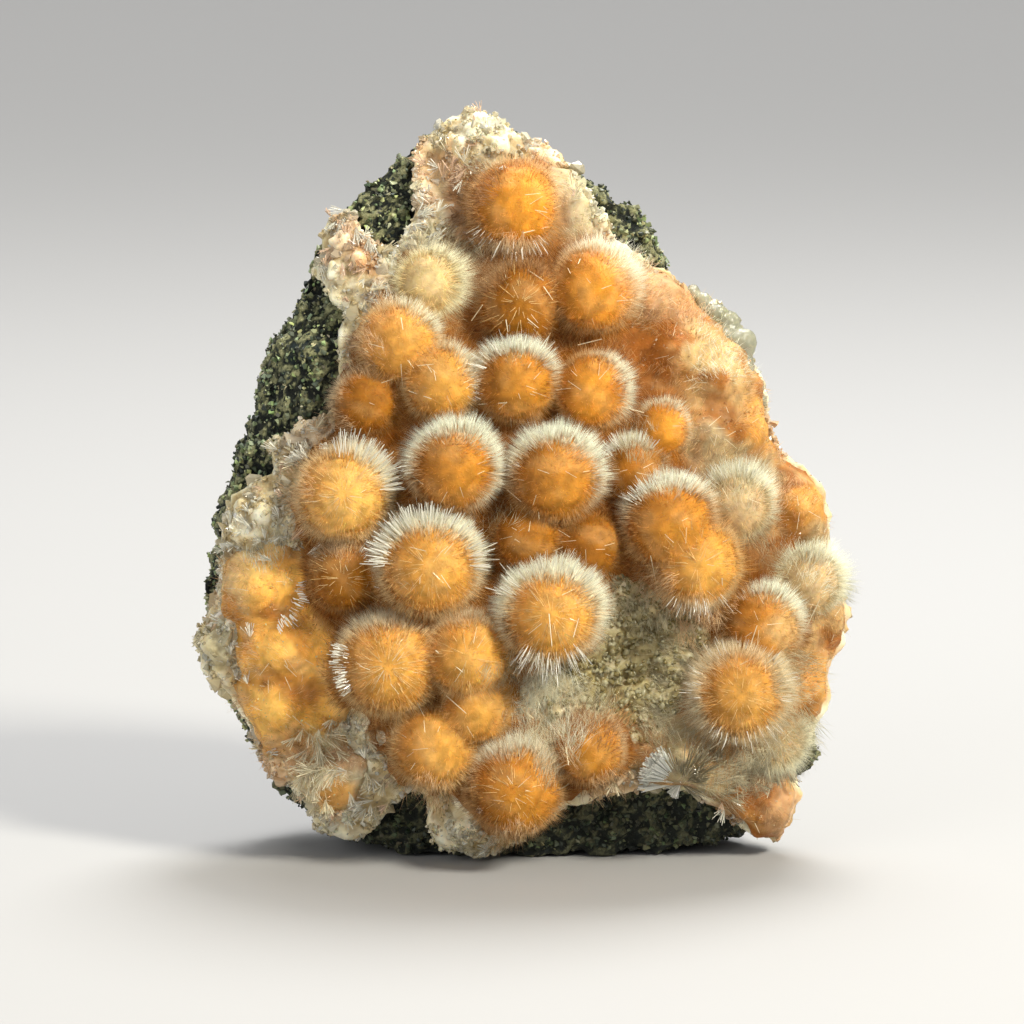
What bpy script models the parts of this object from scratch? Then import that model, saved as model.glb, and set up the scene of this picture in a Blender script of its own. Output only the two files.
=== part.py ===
"""A thomsonite specimen: furry orange balls grown on a pale crystal crust that lines dark green basalt.

The rock stands on a small flat spot with its crystal face leaning back a little.
Shapes are drawn on that face: x runs across it, y into the rock and z up it.
One empty then leans the whole face back and sets it over the middle of the flat spot.
"""

import math

import bmesh
import bpy
from mathutils import Euler, Matrix, Vector, noise

MM = 0.001

# How the face stands: its lean, and where it starts from the middle of the flat spot.
LEAN = math.radians(8.0)
FACE_ACROSS = -2.6
FACE_FORWARD = 20.7
FOOT = 1.2

# The face is a low dome: its middle is the nearest point and its rim lies this much deeper.
RIM_DROP = 9.0
HALF_WIDE = 34.0
HALF_HIGH = 40.0
FACE_MIDDLE = (1.0, 38.0)

# Thicknesses, in the order in which the layers grew.
CRUST_SKIN = 3.2
CRUST_LEAST = 1.2
CRUST_RIM_DROP = 2.0
CRUST_RIM_REACH = 3.6
FELT = 1.0
GAP = 0.3

# Grid spacing of the surfaces between the layers.
ROCK_STEP = 4.2
CRUST_STEP = 3.0
RIM_STEP = 3.2

# The rock's outline on the face, clockwise from the top. The crust covers all but its outcrops.
ROCK_OUTLINE = [
    (-4.0, 76.2), (1.0, 73.6), (6.4, 69.4), (8.2, 69.2), (9.5, 68.4), (9.7, 65.2), (13.0, 63.8),
    (16.2, 60.2), (19.0, 55.6), (23.2, 49.8), (25.4, 44.2), (28.0, 39.2), (31.2, 34.2), (31.4, 29.4),
    (33.0, 25.2), (31.4, 18.4), (30.2, 12.4), (28.8, 7.2), (25.8, 3.0), (20.2, 0.9), (9.0, 0.3),
    (-8.2, -0.2), (-13.6, 1.8), (-19.2, 3.8), (-23.4, 7.2), (-27.4, 12.4), (-29.8, 16.4),
    (-31.4, 20.8), (-31.6, 26.6), (-29.8, 30.4), (-29.2, 36.4), (-27.8, 37.8), (-27.0, 42.4),
    (-25.6, 46.4), (-25.8, 50.8), (-22.7, 53.5), (-21.4, 57.4), (-19.8, 60.2), (-18.2, 64.0),
    (-15.4, 69.0), (-13.4, 71.5), (-9.4, 73.4),
]

# The pale crust's outline. It has broken away at the upper left, the upper right and along the foot.
CRUST_OUTLINE = [
    (-4.2, 76.2), (-1.9, 75.4), (1.0, 73.2), (3.8, 72.1), (6.2, 69.8), (7.4, 68.4), (8.7, 64.8),
    (10.8, 62.3), (13.3, 60.4), (15.9, 59.4), (17.8, 57.9), (20.1, 56.5), (22.4, 54.4), (23.9, 51.9),
    (24.0, 50.2), (25.4, 48.7), (25.8, 45.4), (26.7, 41.6), (29.1, 40.3), (31.2, 38.3), (32.2, 35.3),
    (32.3, 32.0), (32.1, 30.3), (33.4, 28.0), (34.4, 25.3), (33.5, 22.0), (32.2, 19.5), (32.2, 16.0),
    (31.0, 13.7), (29.6, 11.5), (28.8, 9.0), (29.4, 6.5), (28.6, 3.8), (26.8, 1.9), (24.3, 2.1),
    (22.6, 3.7), (20.0, 5.8), (17.6, 7.2), (14.4, 7.5), (11.4, 7.2), (8.4, 6.4), (5.6, 5.4),
    (3.2, 4.2), (1.4, 2.6), (-0.8, 1.4), (-3.2, 0.5), (-5.6, 1.0), (-7.4, 1.5), (-8.4, 3.6),
    (-8.8, 6.6), (-9.6, 7.8), (-12.0, 6.2), (-13.4, 3.4), (-15.0, 2.3), (-18.0, 2.2), (-19.8, 3.2),
    (-20.2, 5.2), (-22.4, 7.4), (-24.4, 8.4), (-25.8, 11.2), (-26.8, 14.0), (-28.8, 16.6),
    (-31.0, 19.0), (-32.0, 22.4), (-31.2, 24.8), (-29.8, 27.6), (-29.2, 31.6), (-29.4, 34.4),
    (-28.4, 37.0), (-26.6, 38.0), (-24.0, 39.4), (-24.4, 42.0), (-21.4, 44.2), (-18.4, 45.4),
    (-17.2, 48.2), (-17.6, 51.6), (-16.8, 55.0), (-18.8, 57.2), (-20.0, 59.4), (-19.2, 62.4),
    (-18.4, 65.0), (-16.2, 65.8), (-14.6, 63.4), (-12.0, 61.6), (-10.2, 64.0), (-9.8, 67.6),
    (-9.8, 71.6), (-8.4, 73.2), (-6.2, 75.0),
]

# The felt of short fibres that ties the balls together. It leaves the crust bare in the hollow.
FELT_OUTLINE = [
    (-1.0, 70.2), (2.6, 69.4), (6.2, 65.0), (10.2, 61.0), (14.6, 57.8), (18.2, 55.4), (21.2, 51.4),
    (23.6, 47.4), (24.6, 43.2), (26.4, 40.0), (30.2, 37.2), (31.0, 31.4), (32.4, 26.0), (31.0, 20.4),
    (31.0, 16.2), (29.2, 12.2), (28.6, 8.0), (28.4, 4.6), (25.8, 3.4), (24.2, 6.6), (21.6, 9.2),
    (18.6, 11.4), (18.0, 16.2), (18.4, 20.6), (15.6, 23.4), (12.6, 25.0), (10.0, 22.6), (9.2, 18.6),
    (12.2, 15.6), (12.0, 11.0), (7.6, 8.2), (3.8, 5.8), (-1.2, 3.6), (-4.6, 5.0), (-8.6, 9.2),
    (-13.0, 9.6), (-17.4, 11.6), (-20.6, 9.8),
    (-24.2, 11.4), (-26.4, 16.0), (-28.4, 22.0), (-28.8, 28.4), (-25.0, 31.8), (-20.8, 34.4),
    (-20.4, 38.8), (-17.6, 41.4), (-16.6, 45.6), (-15.6, 50.0), (-12.4, 54.6), (-11.2, 59.6),
    (-7.0, 62.8), (-5.2, 67.4),
]

# Basalt that stands up through the crust: across, up, height, radius.
OUTCROPS = [
    (-12.6, 67.6, 3.4, 5.5),
    (-21.4, 50.4, 3.0, 8.0),
    (-26.4, 40.4, 1.6, 4.0),
    (9.0, 66.4, 3.2, 4.0),
    (13.6, 62.6, 3.0, 5.0),
]

# Swellings and hollows of the pale crust: across, up, height, radius.
CRUST_SWELLS = [
    (-4.0, 72.8, 1.6, 4.0),
    (22.0, 52.8, 1.4, 3.5),
    (-29.6, 22.2, 1.8, 4.0),
    (-26.6, 34.4, 1.4, 4.0),
    (-5.0, 3.2, 1.4, 4.0),
    (-16.4, 59.4, 1.4, 4.0),
    (21.6, 7.6, 1.2, 4.5),
    (13.4, 21.0, -1.6, 5.0),
    (12.6, 18.0, -1.0, 4.0),
]

# The balls: name, across, up, radius to the fibre tips, height of the centre above the crust.
BALLS = [
    ("crown", 0.2, 65.6, 5.6, 1.6),
    ("crown_side", 5.6, 66.2, 3.6, 0.2),
    ("shoulder", 8.1, 57.3, 5.4, 2.4),
    ("shoulder_low", 0.8, 55.8, 5.2, 1.4),
    ("pale_west", -8.2, 58.0, 4.7, 1.2),
    ("west_high", -11.2, 52.0, 5.0, 1.6),
    ("west_mid", -7.0, 48.0, 4.6, 1.8),
    ("west_low", -14.4, 46.2, 4.2, 1.0),
    ("middle_high", 0.4, 48.0, 4.9, 2.4),
    ("middle_high_east", 7.8, 47.2, 4.7, 1.8),
    ("centre_west", -5.7, 39.7, 5.4, 3.0),
    ("centre_east", 4.2, 38.8, 5.6, 2.8),
    ("under_centre", 1.4, 32.8, 4.2, 1.4),
    ("under_east", 7.6, 32.0, 4.0, 0.8),
    ("star_west", -16.6, 37.0, 5.8, 1.8),
    ("star_middle", -8.1, 30.0, 6.1, 3.2),
    ("heart", 3.8, 25.4, 6.0, 3.4),
    ("west_small", -16.7, 28.8, 4.3, 1.4),
    ("edge_high", -24.8, 27.4, 4.9, 1.2),
    ("edge_mid", -22.8, 21.2, 4.4, 1.4),
    ("edge_low", -23.0, 15.8, 4.8, 1.2),
    ("great_west", -12.2, 20.2, 6.2, 3.0),
    ("great_side", -4.4, 21.2, 5.2, 2.4),
    ("low_saddle", -3.6, 15.8, 4.2, 2.0),
    ("low_west", -7.8, 12.0, 5.2, 2.4),
    ("low_middle", 0.2, 7.9, 5.9, 2.4),
    ("low_east", 7.6, 11.8, 4.4, 2.0),
    ("flank_top", 14.0, 56.2, 4.2, 0.6),
    ("flank_high", 16.2, 51.0, 4.4, 0.8),
    ("flank_out", 20.4, 48.6, 4.3, 0.6),
    ("flank_mid", 19.2, 43.4, 3.9, 0.8),
    ("flank_low", 23.0, 43.4, 3.8, 0.6),
    ("little_east", 14.9, 43.6, 3.4, 1.4),
    ("east_fringe", 12.0, 39.4, 4.0, 1.4),
    ("great_east", 15.4, 34.2, 5.6, 3.0),
    ("great_east_low", 18.2, 30.2, 5.4, 2.8),
    ("grey_east", 22.2, 36.0, 4.9, 1.6),
    ("rim_high", 28.8, 35.6, 4.7, 0.8),
    ("rim_grey", 29.6, 28.4, 4.6, 1.4),
    ("rim_point", 32.0, 24.8, 2.6, 0.4),
    ("lower_east", 24.8, 24.0, 4.9, 2.0),
    ("low_star", 22.6, 17.4, 6.0, 3.0),
    ("rim_low", 29.6, 17.2, 4.4, 0.8),
    ("rim_grey_low", 26.4, 12.4, 4.2, 0.8),
    ("corner", 26.8, 5.2, 3.4, 0.2),
    ("broken", 17.0, 10.4, 4.6, 0.6),
    ("south_west", -18.6, 8.8, 4.2, 0.4),
]

BALL_SPLITS = 3
SMALL_BALL = 4.0
SKIN_CELL = 0.6
FACES_KEPT = 0.037

# Broad breaks that the hammer left on the rock: a point of each (across, in, up) and the way it faces.
BREAKS = [
    ((0.0, 34.0, 36.0), (0.05, 1.00, -0.12)),
    ((-23.0, 22.0, 36.0), (-0.70, 0.70, 0.14)),
    ((24.0, 23.0, 30.0), (0.66, 0.75, -0.04)),
    ((2.0, 24.0, 67.0), (0.12, 0.74, 0.66)),
    ((-19.0, 16.0, 58.0), (-0.62, 0.44, 0.65)),
    ((19.0, 17.0, 55.0), (0.74, 0.36, 0.57)),
    ((10.0, 33.0, 14.0), (0.36, 0.86, -0.36)),
    ((-17.0, 30.0, 14.0), (-0.48, 0.78, -0.40)),
    ((-24.0, 18.0, 8.0), (-0.74, 0.20, -0.64)),
    ((28.0, 18.0, 9.0), (0.76, 0.22, -0.61)),
    ((-30.5, 14.0, 24.0), (-0.96, 0.26, -0.08)),
    ((31.0, 16.0, 26.0), (0.95, 0.30, 0.04)),
]
ROCK_CELL = 3.2
LEDGES = 3.4
LEDGE_GRAIN = 9.0
ROUGH = 2.6
ROUGH_GRAIN = 5.0
CUTTER_REACH = 60.0
CUTTER_WIDE = 88.0
CUTTER_HIGH = 100.0
PRISM_NEAR = -12.0
PRISM_FAR = 40.0


def clear_scene():
    """Removes whatever the file held before."""
    for old in list(bpy.data.objects):
        bpy.data.objects.remove(old)


def rock_material(name, colour, roughness):
    """A plain finish in the piece's own colour."""
    finish = bpy.data.materials.new(name)
    finish.use_nodes = True
    shader = finish.node_tree.nodes["Principled BSDF"]
    shader.inputs["Base Color"].default_value = (*colour, 1.0)
    shader.inputs["Roughness"].default_value = roughness
    shader.inputs["Metallic"].default_value = 0.0
    return finish


def face_depth(x, z):
    """Depth of the low dome that the face follows, with its gentle waves."""
    across = (x - FACE_MIDDLE[0]) / HALF_WIDE
    up = (z - FACE_MIDDLE[1]) / HALF_HIGH
    waves = 0.5 * math.sin(x / 6.5 + 0.8) * math.cos(z / 8.0)
    return RIM_DROP * (across * across + up * up) + waves


def swelling(x, z, swells):
    """Sum of the smooth swellings at a point of the face."""
    total = 0.0
    for across, up, height, radius in swells:
        reach = ((x - across) ** 2 + (z - up) ** 2) / (radius * radius)
        total += height * math.exp(-reach)
    return total


def from_rim(x, z):
    """How far inside the crust's outline a point lies, or 0 outside it."""
    point, inside, nearest = Vector((x, z)), False, math.inf
    for start, end in zip(CRUST_OUTLINE, CRUST_OUTLINE[1:] + CRUST_OUTLINE[:1]):
        a, b = Vector(start), Vector(end)
        share = max(0.0, min(1.0, (point - a).dot(b - a) / (b - a).length_squared))
        nearest = min(nearest, (point - a.lerp(b, share)).length)
        if (a.y > z) != (b.y > z) and x < a.x + (z - a.y) * (b.x - a.x) / (b.y - a.y):
            inside = not inside
    return nearest if inside else 0.0


def rock_depth(x, z):
    """Depth of the basalt's own face, under the crust."""
    return face_depth(x, z) + CRUST_SKIN - swelling(x, z, OUTCROPS)


def crust_depth(x, z):
    """Depth of the pale crust's face: rounded off at its rim, and never under its least thickness."""
    grown = face_depth(x, z) - swelling(x, z, CRUST_SWELLS)
    grown -= 0.5 * noise.noise(Vector((x, 0.0, z)) / 3.5)
    grown += CRUST_RIM_DROP * max(0.0, 1.0 - from_rim(x, z) / CRUST_RIM_REACH) ** 2
    return min(grown, rock_depth(x, z) - CRUST_LEAST)


def even_outline(corners, step):
    """The outline as points about one step apart."""
    points = []
    for start, end in zip(corners, corners[1:] + corners[:1]):
        a, b = Vector(start), Vector(end)
        parts = max(1, round((b - a).length / step))
        points += [a.lerp(b, part / parts) for part in range(parts)]
    return points


def new_object(name, mesh_builder, face, finish=None):
    """A named object from a finished bmesh, in metres, standing on the leaning face."""
    bmesh.ops.scale(mesh_builder, vec=(MM, MM, MM), verts=mesh_builder.verts)
    mesh = bpy.data.meshes.new(name)
    mesh_builder.to_mesh(mesh)
    mesh_builder.free()
    made = bpy.data.objects.new(name, mesh)
    bpy.context.scene.collection.objects.link(made)
    made.parent = face
    if finish:
        mesh.materials.append(finish)
    else:
        made.hide_render = True
        made.display_type = "WIRE"
    return made


def leaning_face():
    """The empty that leans the face back and sets it over the flat spot."""
    face = bpy.data.objects.new("face", None)
    bpy.context.scene.collection.objects.link(face)
    face.location = (FACE_ACROSS * MM, -FACE_FORWARD * MM, FOOT * MM)
    face.rotation_euler = (-LEAN, 0.0, 0.0)
    return face


def behind_surface(name, face, depth_at, offset, step):
    """A cutter: everything behind a surface that lies at depth_at, moved into the rock by offset."""
    build = bmesh.new()
    columns, rows = round(CUTTER_WIDE / step), round(CUTTER_HIGH / step)
    upright = Matrix.Rotation(math.pi / 2, 4, "X")
    bmesh.ops.create_grid(build, x_segments=columns, y_segments=rows, size=0.5, matrix=upright)
    for vert in build.verts:
        vert.co.x *= CUTTER_WIDE
        vert.co.z = FACE_MIDDLE[1] + vert.co.z * CUTTER_HIGH
        vert.co.y = depth_at(vert.co.x, vert.co.z) + offset
    bmesh.ops.triangulate(build, faces=build.faces, quad_method="FIXED")
    sheet = list(build.faces)
    pushed = bmesh.ops.extrude_face_region(build, geom=sheet)["geom"]
    for vert in (item for item in pushed if isinstance(item, bmesh.types.BMVert)):
        vert.co.y = CUTTER_REACH
    bmesh.ops.recalc_face_normals(build, faces=build.faces)
    return new_object(name, build, face)


def prism(build, outline, near, far):
    """A straight wall round an outline, closed at both ends."""
    ring = [build.verts.new((point.x, near, point.y)) for point in outline]
    cap = build.faces.new(ring)
    pushed = bmesh.ops.extrude_face_region(build, geom=[cap])["geom"]
    for vert in (item for item in pushed if isinstance(item, bmesh.types.BMVert)):
        vert.co.y = far
    bmesh.ops.recalc_face_normals(build, faces=build.faces)


def boolean(target, cutter, operation, own_shapes=False):
    """One exact Boolean, left on the object."""
    cut = target.modifiers.new(f"{operation.lower()} {cutter.name}", "BOOLEAN")
    cut.operation = operation
    cut.object = cutter
    cut.solver = "EXACT"
    cut.use_self = own_shapes


def even_skin(target, cell):
    """The whole skin again, in even cells."""
    skin = target.modifiers.new("even skin", "REMESH")
    skin.mode = "VOXEL"
    skin.voxel_size = cell * MM


def rough(target, name, kind, strength, grain):
    """One layer of roughness, pushed out and in evenly from the skin."""
    pattern = bpy.data.textures.new(name, kind)
    pattern.noise_scale = grain * MM
    layer = target.modifiers.new(name, "DISPLACE")
    layer.texture = pattern
    layer.texture_coords = "LOCAL"
    layer.strength = strength * MM


def floor_block(face):
    """A cutter: everything under the table that the rock stands on."""
    build = bmesh.new()
    upright = face.rotation_euler.to_matrix().inverted().to_4x4()
    spot = upright @ Vector((-FACE_ACROSS, FACE_FORWARD, -FOOT - CUTTER_REACH / 2))
    size = Matrix.Diagonal((CUTTER_HIGH, CUTTER_HIGH, CUTTER_REACH, 1.0))
    bmesh.ops.create_cube(build, size=1.0, matrix=Matrix.Translation(spot) @ upright @ size)
    return new_object("floor block", build, face)


def basalt_matrix(face):
    """The dark rock: the outline pushed back, broken away in broad faces, then roughened and cut flat."""
    build = bmesh.new()
    prism(build, even_outline(ROCK_OUTLINE, RIM_STEP), PRISM_NEAR, PRISM_FAR)
    for point, facing in BREAKS:
        everything = build.verts[:] + build.edges[:] + build.faces[:]
        cut = bmesh.ops.bisect_plane(
            build, geom=everything, plane_co=point, plane_no=facing, clear_outer=True
        )
        rim = [item for item in cut["geom_cut"] if isinstance(item, bmesh.types.BMEdge)]
        bmesh.ops.holes_fill(build, edges=rim)
    bmesh.ops.recalc_face_normals(build, faces=build.faces)
    finish = rock_material("green black basalt", (0.075, 0.085, 0.055), 0.75)
    rock = new_object("basalt_matrix", build, face, finish)
    even_skin(rock, ROCK_CELL)
    rough(rock, "ledges", "VORONOI", LEDGES, LEDGE_GRAIN)
    rough(rock, "crumbs", "CLOUDS", ROUGH, ROUGH_GRAIN)
    boolean(rock, behind_surface("rock face cutter", face, rock_depth, 0.0, ROCK_STEP), "INTERSECT")
    boolean(rock, floor_block(face), "DIFFERENCE")
    return rock


def druse_crust(face):
    """The pale crust of small crystals that lines the rock's face."""
    build = bmesh.new()
    prism(build, even_outline(CRUST_OUTLINE, RIM_STEP), PRISM_NEAR, PRISM_FAR)
    finish = rock_material("pale crystal crust", (0.58, 0.53, 0.36), 0.35)
    crust = new_object("druse_crust", build, face, finish)
    boolean(crust, behind_surface("crust face cutter", face, crust_depth, 0.0, CRUST_STEP), "INTERSECT")
    boolean(crust, behind_surface("crust back cutter", face, rock_depth, -GAP, ROCK_STEP), "DIFFERENCE")
    return crust


def ball_shapes(build):
    """Every ball to its fibre tips, each turned its own way so that no two show the same facets."""
    for index, (_, across, up, radius, stand) in enumerate(BALLS):
        centre = Vector((across, crust_depth(across, up) - stand, up))
        turn = Euler((0.7 * index, 1.3 * index, 2.1 * index)).to_matrix().to_4x4()
        splits = BALL_SPLITS if radius > SMALL_BALL else BALL_SPLITS - 1
        place = Matrix.Translation(centre) @ turn
        bmesh.ops.create_icosphere(build, subdivisions=splits, radius=radius, matrix=place)


def thomsonite_balls(face):
    """The balls and the felt between them, grown together as one solid on the crust."""
    felt = bmesh.new()
    prism(felt, even_outline(FELT_OUTLINE, RIM_STEP), PRISM_NEAR, PRISM_FAR)
    felt = new_object("felt shape", felt, face)
    boolean(felt, behind_surface("felt face cutter", face, crust_depth, -GAP - FELT, CRUST_STEP), "INTERSECT")
    build = bmesh.new()
    ball_shapes(build)
    finish = rock_material("orange thomsonite", (0.72, 0.36, 0.11), 0.55)
    balls = new_object("thomsonite_balls", build, face, finish)
    boolean(balls, felt, "UNION", own_shapes=True)
    even_skin(balls, SKIN_CELL)
    fewer = balls.modifiers.new("fewer faces", "DECIMATE")
    fewer.ratio = FACES_KEPT
    boolean(balls, behind_surface("ball back cutter", face, crust_depth, -GAP, CRUST_STEP), "DIFFERENCE")
    return balls


def main():
    clear_scene()
    face = leaning_face()
    bpy.context.view_layer.update()
    basalt_matrix(face)
    druse_crust(face)
    thomsonite_balls(face)


main()
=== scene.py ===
import math

import bmesh
import bpy
import numpy as np
from mathutils import Matrix, Vector
from mathutils.bvhtree import BVHTree


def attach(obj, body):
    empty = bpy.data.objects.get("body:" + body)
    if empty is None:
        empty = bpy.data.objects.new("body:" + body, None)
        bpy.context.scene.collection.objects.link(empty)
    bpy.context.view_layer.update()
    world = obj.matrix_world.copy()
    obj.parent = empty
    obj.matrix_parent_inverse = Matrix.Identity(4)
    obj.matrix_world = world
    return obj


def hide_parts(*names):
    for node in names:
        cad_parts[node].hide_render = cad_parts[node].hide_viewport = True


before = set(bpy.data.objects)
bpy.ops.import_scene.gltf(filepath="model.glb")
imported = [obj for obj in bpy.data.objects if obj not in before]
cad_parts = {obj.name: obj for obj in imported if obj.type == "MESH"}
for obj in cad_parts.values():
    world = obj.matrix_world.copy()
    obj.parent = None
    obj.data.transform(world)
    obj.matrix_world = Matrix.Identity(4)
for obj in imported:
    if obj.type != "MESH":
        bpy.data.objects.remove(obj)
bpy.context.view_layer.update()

# The matrix rock.
# A block of crumbly green-black basalt, broken off with a hammer on the back and the sides.
# Its skin is a mass of small angular crumbs with dark pits and a few bright glassy specks.

MM = 0.001
chance = np.random.default_rng(41)


class Wire:
    """One value or colour on its way through a finish. Python's own signs do its maths."""

    def __init__(self, finish, socket):
        self.finish, self.socket = finish, socket

    def maths(self, operation, first, second):
        return self.finish.node("Math", {"operation": operation}, {0: first, 1: second})

    def __add__(self, other):
        return self.maths("ADD", self, other)

    def __sub__(self, other):
        return self.maths("SUBTRACT", self, other)

    def __rsub__(self, other):
        return self.maths("SUBTRACT", other, self)

    def __mul__(self, other):
        return self.maths("MULTIPLY", self, other)

    __radd__ = __add__
    __rmul__ = __mul__


class Finish:
    """A material whose nodes are added one call at a time."""

    def __init__(self, name):
        self.material = bpy.data.materials.new(name)
        self.material.use_nodes = True
        self.tree = self.material.node_tree
        self.surface = self.tree.nodes["Principled BSDF"]
        self.place = self.node("TexCoord", out="Object")

    def feed(self, socket, value):
        if isinstance(value, Wire):
            self.tree.links.new(value.socket, socket)
        elif socket.type == "RGBA" and len(value) == 3:
            socket.default_value = (*value, 1.0)
        else:
            socket.default_value = value

    def node(self, kind, settings=None, sockets=None, out=0):
        """Adds a node: its settings first, then the values or wires of its sockets."""
        made = self.tree.nodes.new("ShaderNode" + kind)
        for key, value in (settings or {}).items():
            if key == "stops":
                ramp = made.color_ramp.elements
                while len(ramp) < len(value):
                    ramp.new(0.5)
                for stop, (position, colour) in zip(ramp, value):
                    stop.position, stop.color = position, (*colour, 1.0)
            else:
                setattr(made, key, value)
        for key, value in (sockets or {}).items():
            self.feed(made.inputs[key], value)
        return Wire(self, made.outputs[out])

    def surface_is(self, **sockets):
        """Sets sockets of the surface shader. An underscore stands for a space."""
        for key, value in sockets.items():
            self.feed(self.surface.inputs[key.replace("_", " ")], value)

    def grain(self, size, detail=4.0, rough=0.55, warp=0.0):
        """Cloudy noise whose patches are about that many millimetres across, from 0 to 1."""
        sockets = {"Scale": 1 / (size * MM), "Detail": detail, "Roughness": rough, "Distortion": warp}
        return self.node("TexNoise", {}, {"Vector": self.place, **sockets}, "Fac")

    def cells(self, size, out="Distance"):
        """A pattern of cells about that many millimetres across."""
        return self.node("TexVoronoi", {}, {"Vector": self.place, "Scale": 1 / (size * MM)}, out)

    def band(self, value, low, high):
        """0 at low, 1 at high, and smooth between."""
        limits = {"Value": value, "From Min": low, "From Max": high}
        return self.node("MapRange", {"interpolation_type": "SMOOTHSTEP"}, limits)

    def blend(self, share, first, second, how="MIX"):
        """From the first colour to the second as share goes from 0 to 1."""
        settings = {"data_type": "RGBA", "blend_type": how}
        return self.node("Mix", settings, {0: share, 6: first, 7: second}, 2)

    def attribute(self, name, out="Color"):
        return self.node("Attribute", {"attribute_name": name}, {}, out)

    def bump(self, height, depth):
        self.surface_is(Normal=self.node("Bump", {}, {"Distance": depth * MM, "Height": height}))


def solid_copy(node):
    """A merged copy of one solid, as a bmesh."""
    build = bmesh.new()
    build.from_mesh(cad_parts[node].data)
    bmesh.ops.remove_doubles(build, verts=build.verts, dist=0.01 * MM)
    return build


def new_piece(name, build):
    """An object from a finished bmesh."""
    mesh = bpy.data.meshes.new(name)
    build.to_mesh(mesh)
    build.free()
    piece = bpy.data.objects.new(name, mesh)
    bpy.context.scene.collection.objects.link(piece)
    return piece


def even_skin(piece, cell):
    """The whole skin of a piece again, in cells of that many millimetres."""
    skin = piece.modifiers.new("even skin", "REMESH")
    skin.mode = "VOXEL"
    skin.voxel_size = cell * MM
    skin.use_smooth_shade = True


def relief(piece, kind, size, height, **settings):
    """Pushes the skin out and in by a pattern whose patches are about that many millimetres across."""
    pattern = bpy.data.textures.new(f"{piece.name} {kind.lower()}", kind)
    pattern.noise_scale = size * MM
    for key, value in settings.items():
        setattr(pattern, key, value)
    layer = piece.modifiers.new(pattern.name, "DISPLACE")
    layer.texture = pattern
    layer.texture_coords = "LOCAL"
    layer.strength = height * MM


def read(items, name, width=3):
    """One property of every vertex, edge or face, as an array."""
    values = np.empty(len(items) * width, np.int32 if name == "vertices" else np.float32)
    items.foreach_get(name, values)
    return values.reshape(-1, width) if width > 1 else values


def settle(piece):
    """Applies a piece's modifiers to its mesh, and presses flat what would pass through the table."""
    evaluated = piece.evaluated_get(bpy.context.evaluated_depsgraph_get())
    mesh = bpy.data.meshes.new_from_object(evaluated)
    piece.modifiers.clear()
    points = read(mesh.vertices, "co")
    points[:, 2] = np.maximum(points[:, 2], 0.0)
    mesh.vertices.foreach_set("co", points.ravel())
    piece.data = mesh


def mark(piece, name, values):
    """Keeps a number or a colour for each vertex on the mesh."""
    kind, key = ("FLOAT_COLOR", "color") if values.ndim == 2 else ("FLOAT", "value")
    if values.ndim == 2:
        values = np.column_stack([values, np.ones(len(values))])
    piece.data.attributes.new(name, kind, "POINT").data.foreach_set(key, values.astype(np.float32).ravel())


def mark_proud(piece, rounds):
    """Marks how far each vertex stands out of its surroundings, in millimetres."""
    points = read(piece.data.vertices, "co").astype(float) / MM
    first, second = read(piece.data.edges, "vertices", 2).T
    count = len(points)
    near = np.bincount(first, minlength=count) + np.bincount(second, minlength=count)
    level = points
    for _ in range(rounds):
        sums = [np.bincount(first, level[second, i], count) + np.bincount(second, level[first, i], count)
                for i in range(3)]
        level = np.column_stack(sums) / near[:, None]
    mark(piece, "proud", ((points - level) * read(piece.data.vertices, "normal")).sum(axis=1))


def dress(piece, finish, slot, *nodes, flat=False):
    """Gives a piece its finish, its body and the solids that it stands for."""
    piece.data.materials.clear()
    piece.data.materials.append(finish.material)
    piece.data.polygons.foreach_set("use_smooth", [not flat] * len(piece.data.polygons))
    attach(piece, "root")
    if nodes:
        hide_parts(*nodes)


def unit(vectors):
    return vectors / np.linalg.norm(vectors, axis=1)[:, None]


def smooth(value, low, high):
    """0 at low, 1 at high, and smooth between."""
    share = np.clip((value - low) / (high - low), 0, 1)
    return share * share * (3 - 2 * share)


def many(name, shape, places, frames):
    """One mesh of many copies of a shape. Each copy has a place and the three vectors of its frame."""
    corners = np.array([v.co for v in shape.verts])
    faces = np.array([[v.index for v in f.verts] for f in shape.faces])
    shape.free()
    points = places[:, None, :] + np.einsum("kj,njc->nkc", corners, frames)
    copies = np.arange(len(places))[:, None, None] * len(corners)
    index = (faces[None, :, :] + copies).reshape(-1, 3)
    mesh = bpy.data.meshes.new(name)
    mesh.vertices.add(len(places) * len(corners))
    mesh.vertices.foreach_set("co", points.astype(np.float32).ravel())
    mesh.loops.add(index.size)
    mesh.loops.foreach_set("vertex_index", index.astype(np.int32).ravel())
    mesh.polygons.add(len(index))
    mesh.polygons.foreach_set("loop_start", np.arange(0, index.size, 3, dtype=np.int32))
    mesh.update(calc_edges=True)
    piece = bpy.data.objects.new(name, mesh)
    bpy.context.scene.collection.objects.link(piece)
    return piece


def chip_shape(corners):
    """An angular chip about two units across, the hull of a few random points."""
    build = bmesh.new()
    for place in unit(chance.normal(size=(corners, 3))):
        build.verts.new(place)
    bmesh.ops.convex_hull(build, input=build.verts)
    bmesh.ops.triangulate(build, faces=build.faces)
    bmesh.ops.recalc_face_normals(build, faces=build.faces)
    build.verts.index_update()
    return build


def scattered(piece, count, weigh):
    """Random places on a skin, where weigh(places, normals) says how likely each is."""
    faces = piece.data.polygons
    places, normals, areas = read(faces, "center"), read(faces, "normal"), read(faces, "area", 1)
    weights = areas * weigh(places, normals)
    chosen = chance.choice(len(areas), count, p=weights / weights.sum())
    return places[chosen] + chance.normal(size=(count, 3)) * 0.15 * MM


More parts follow.
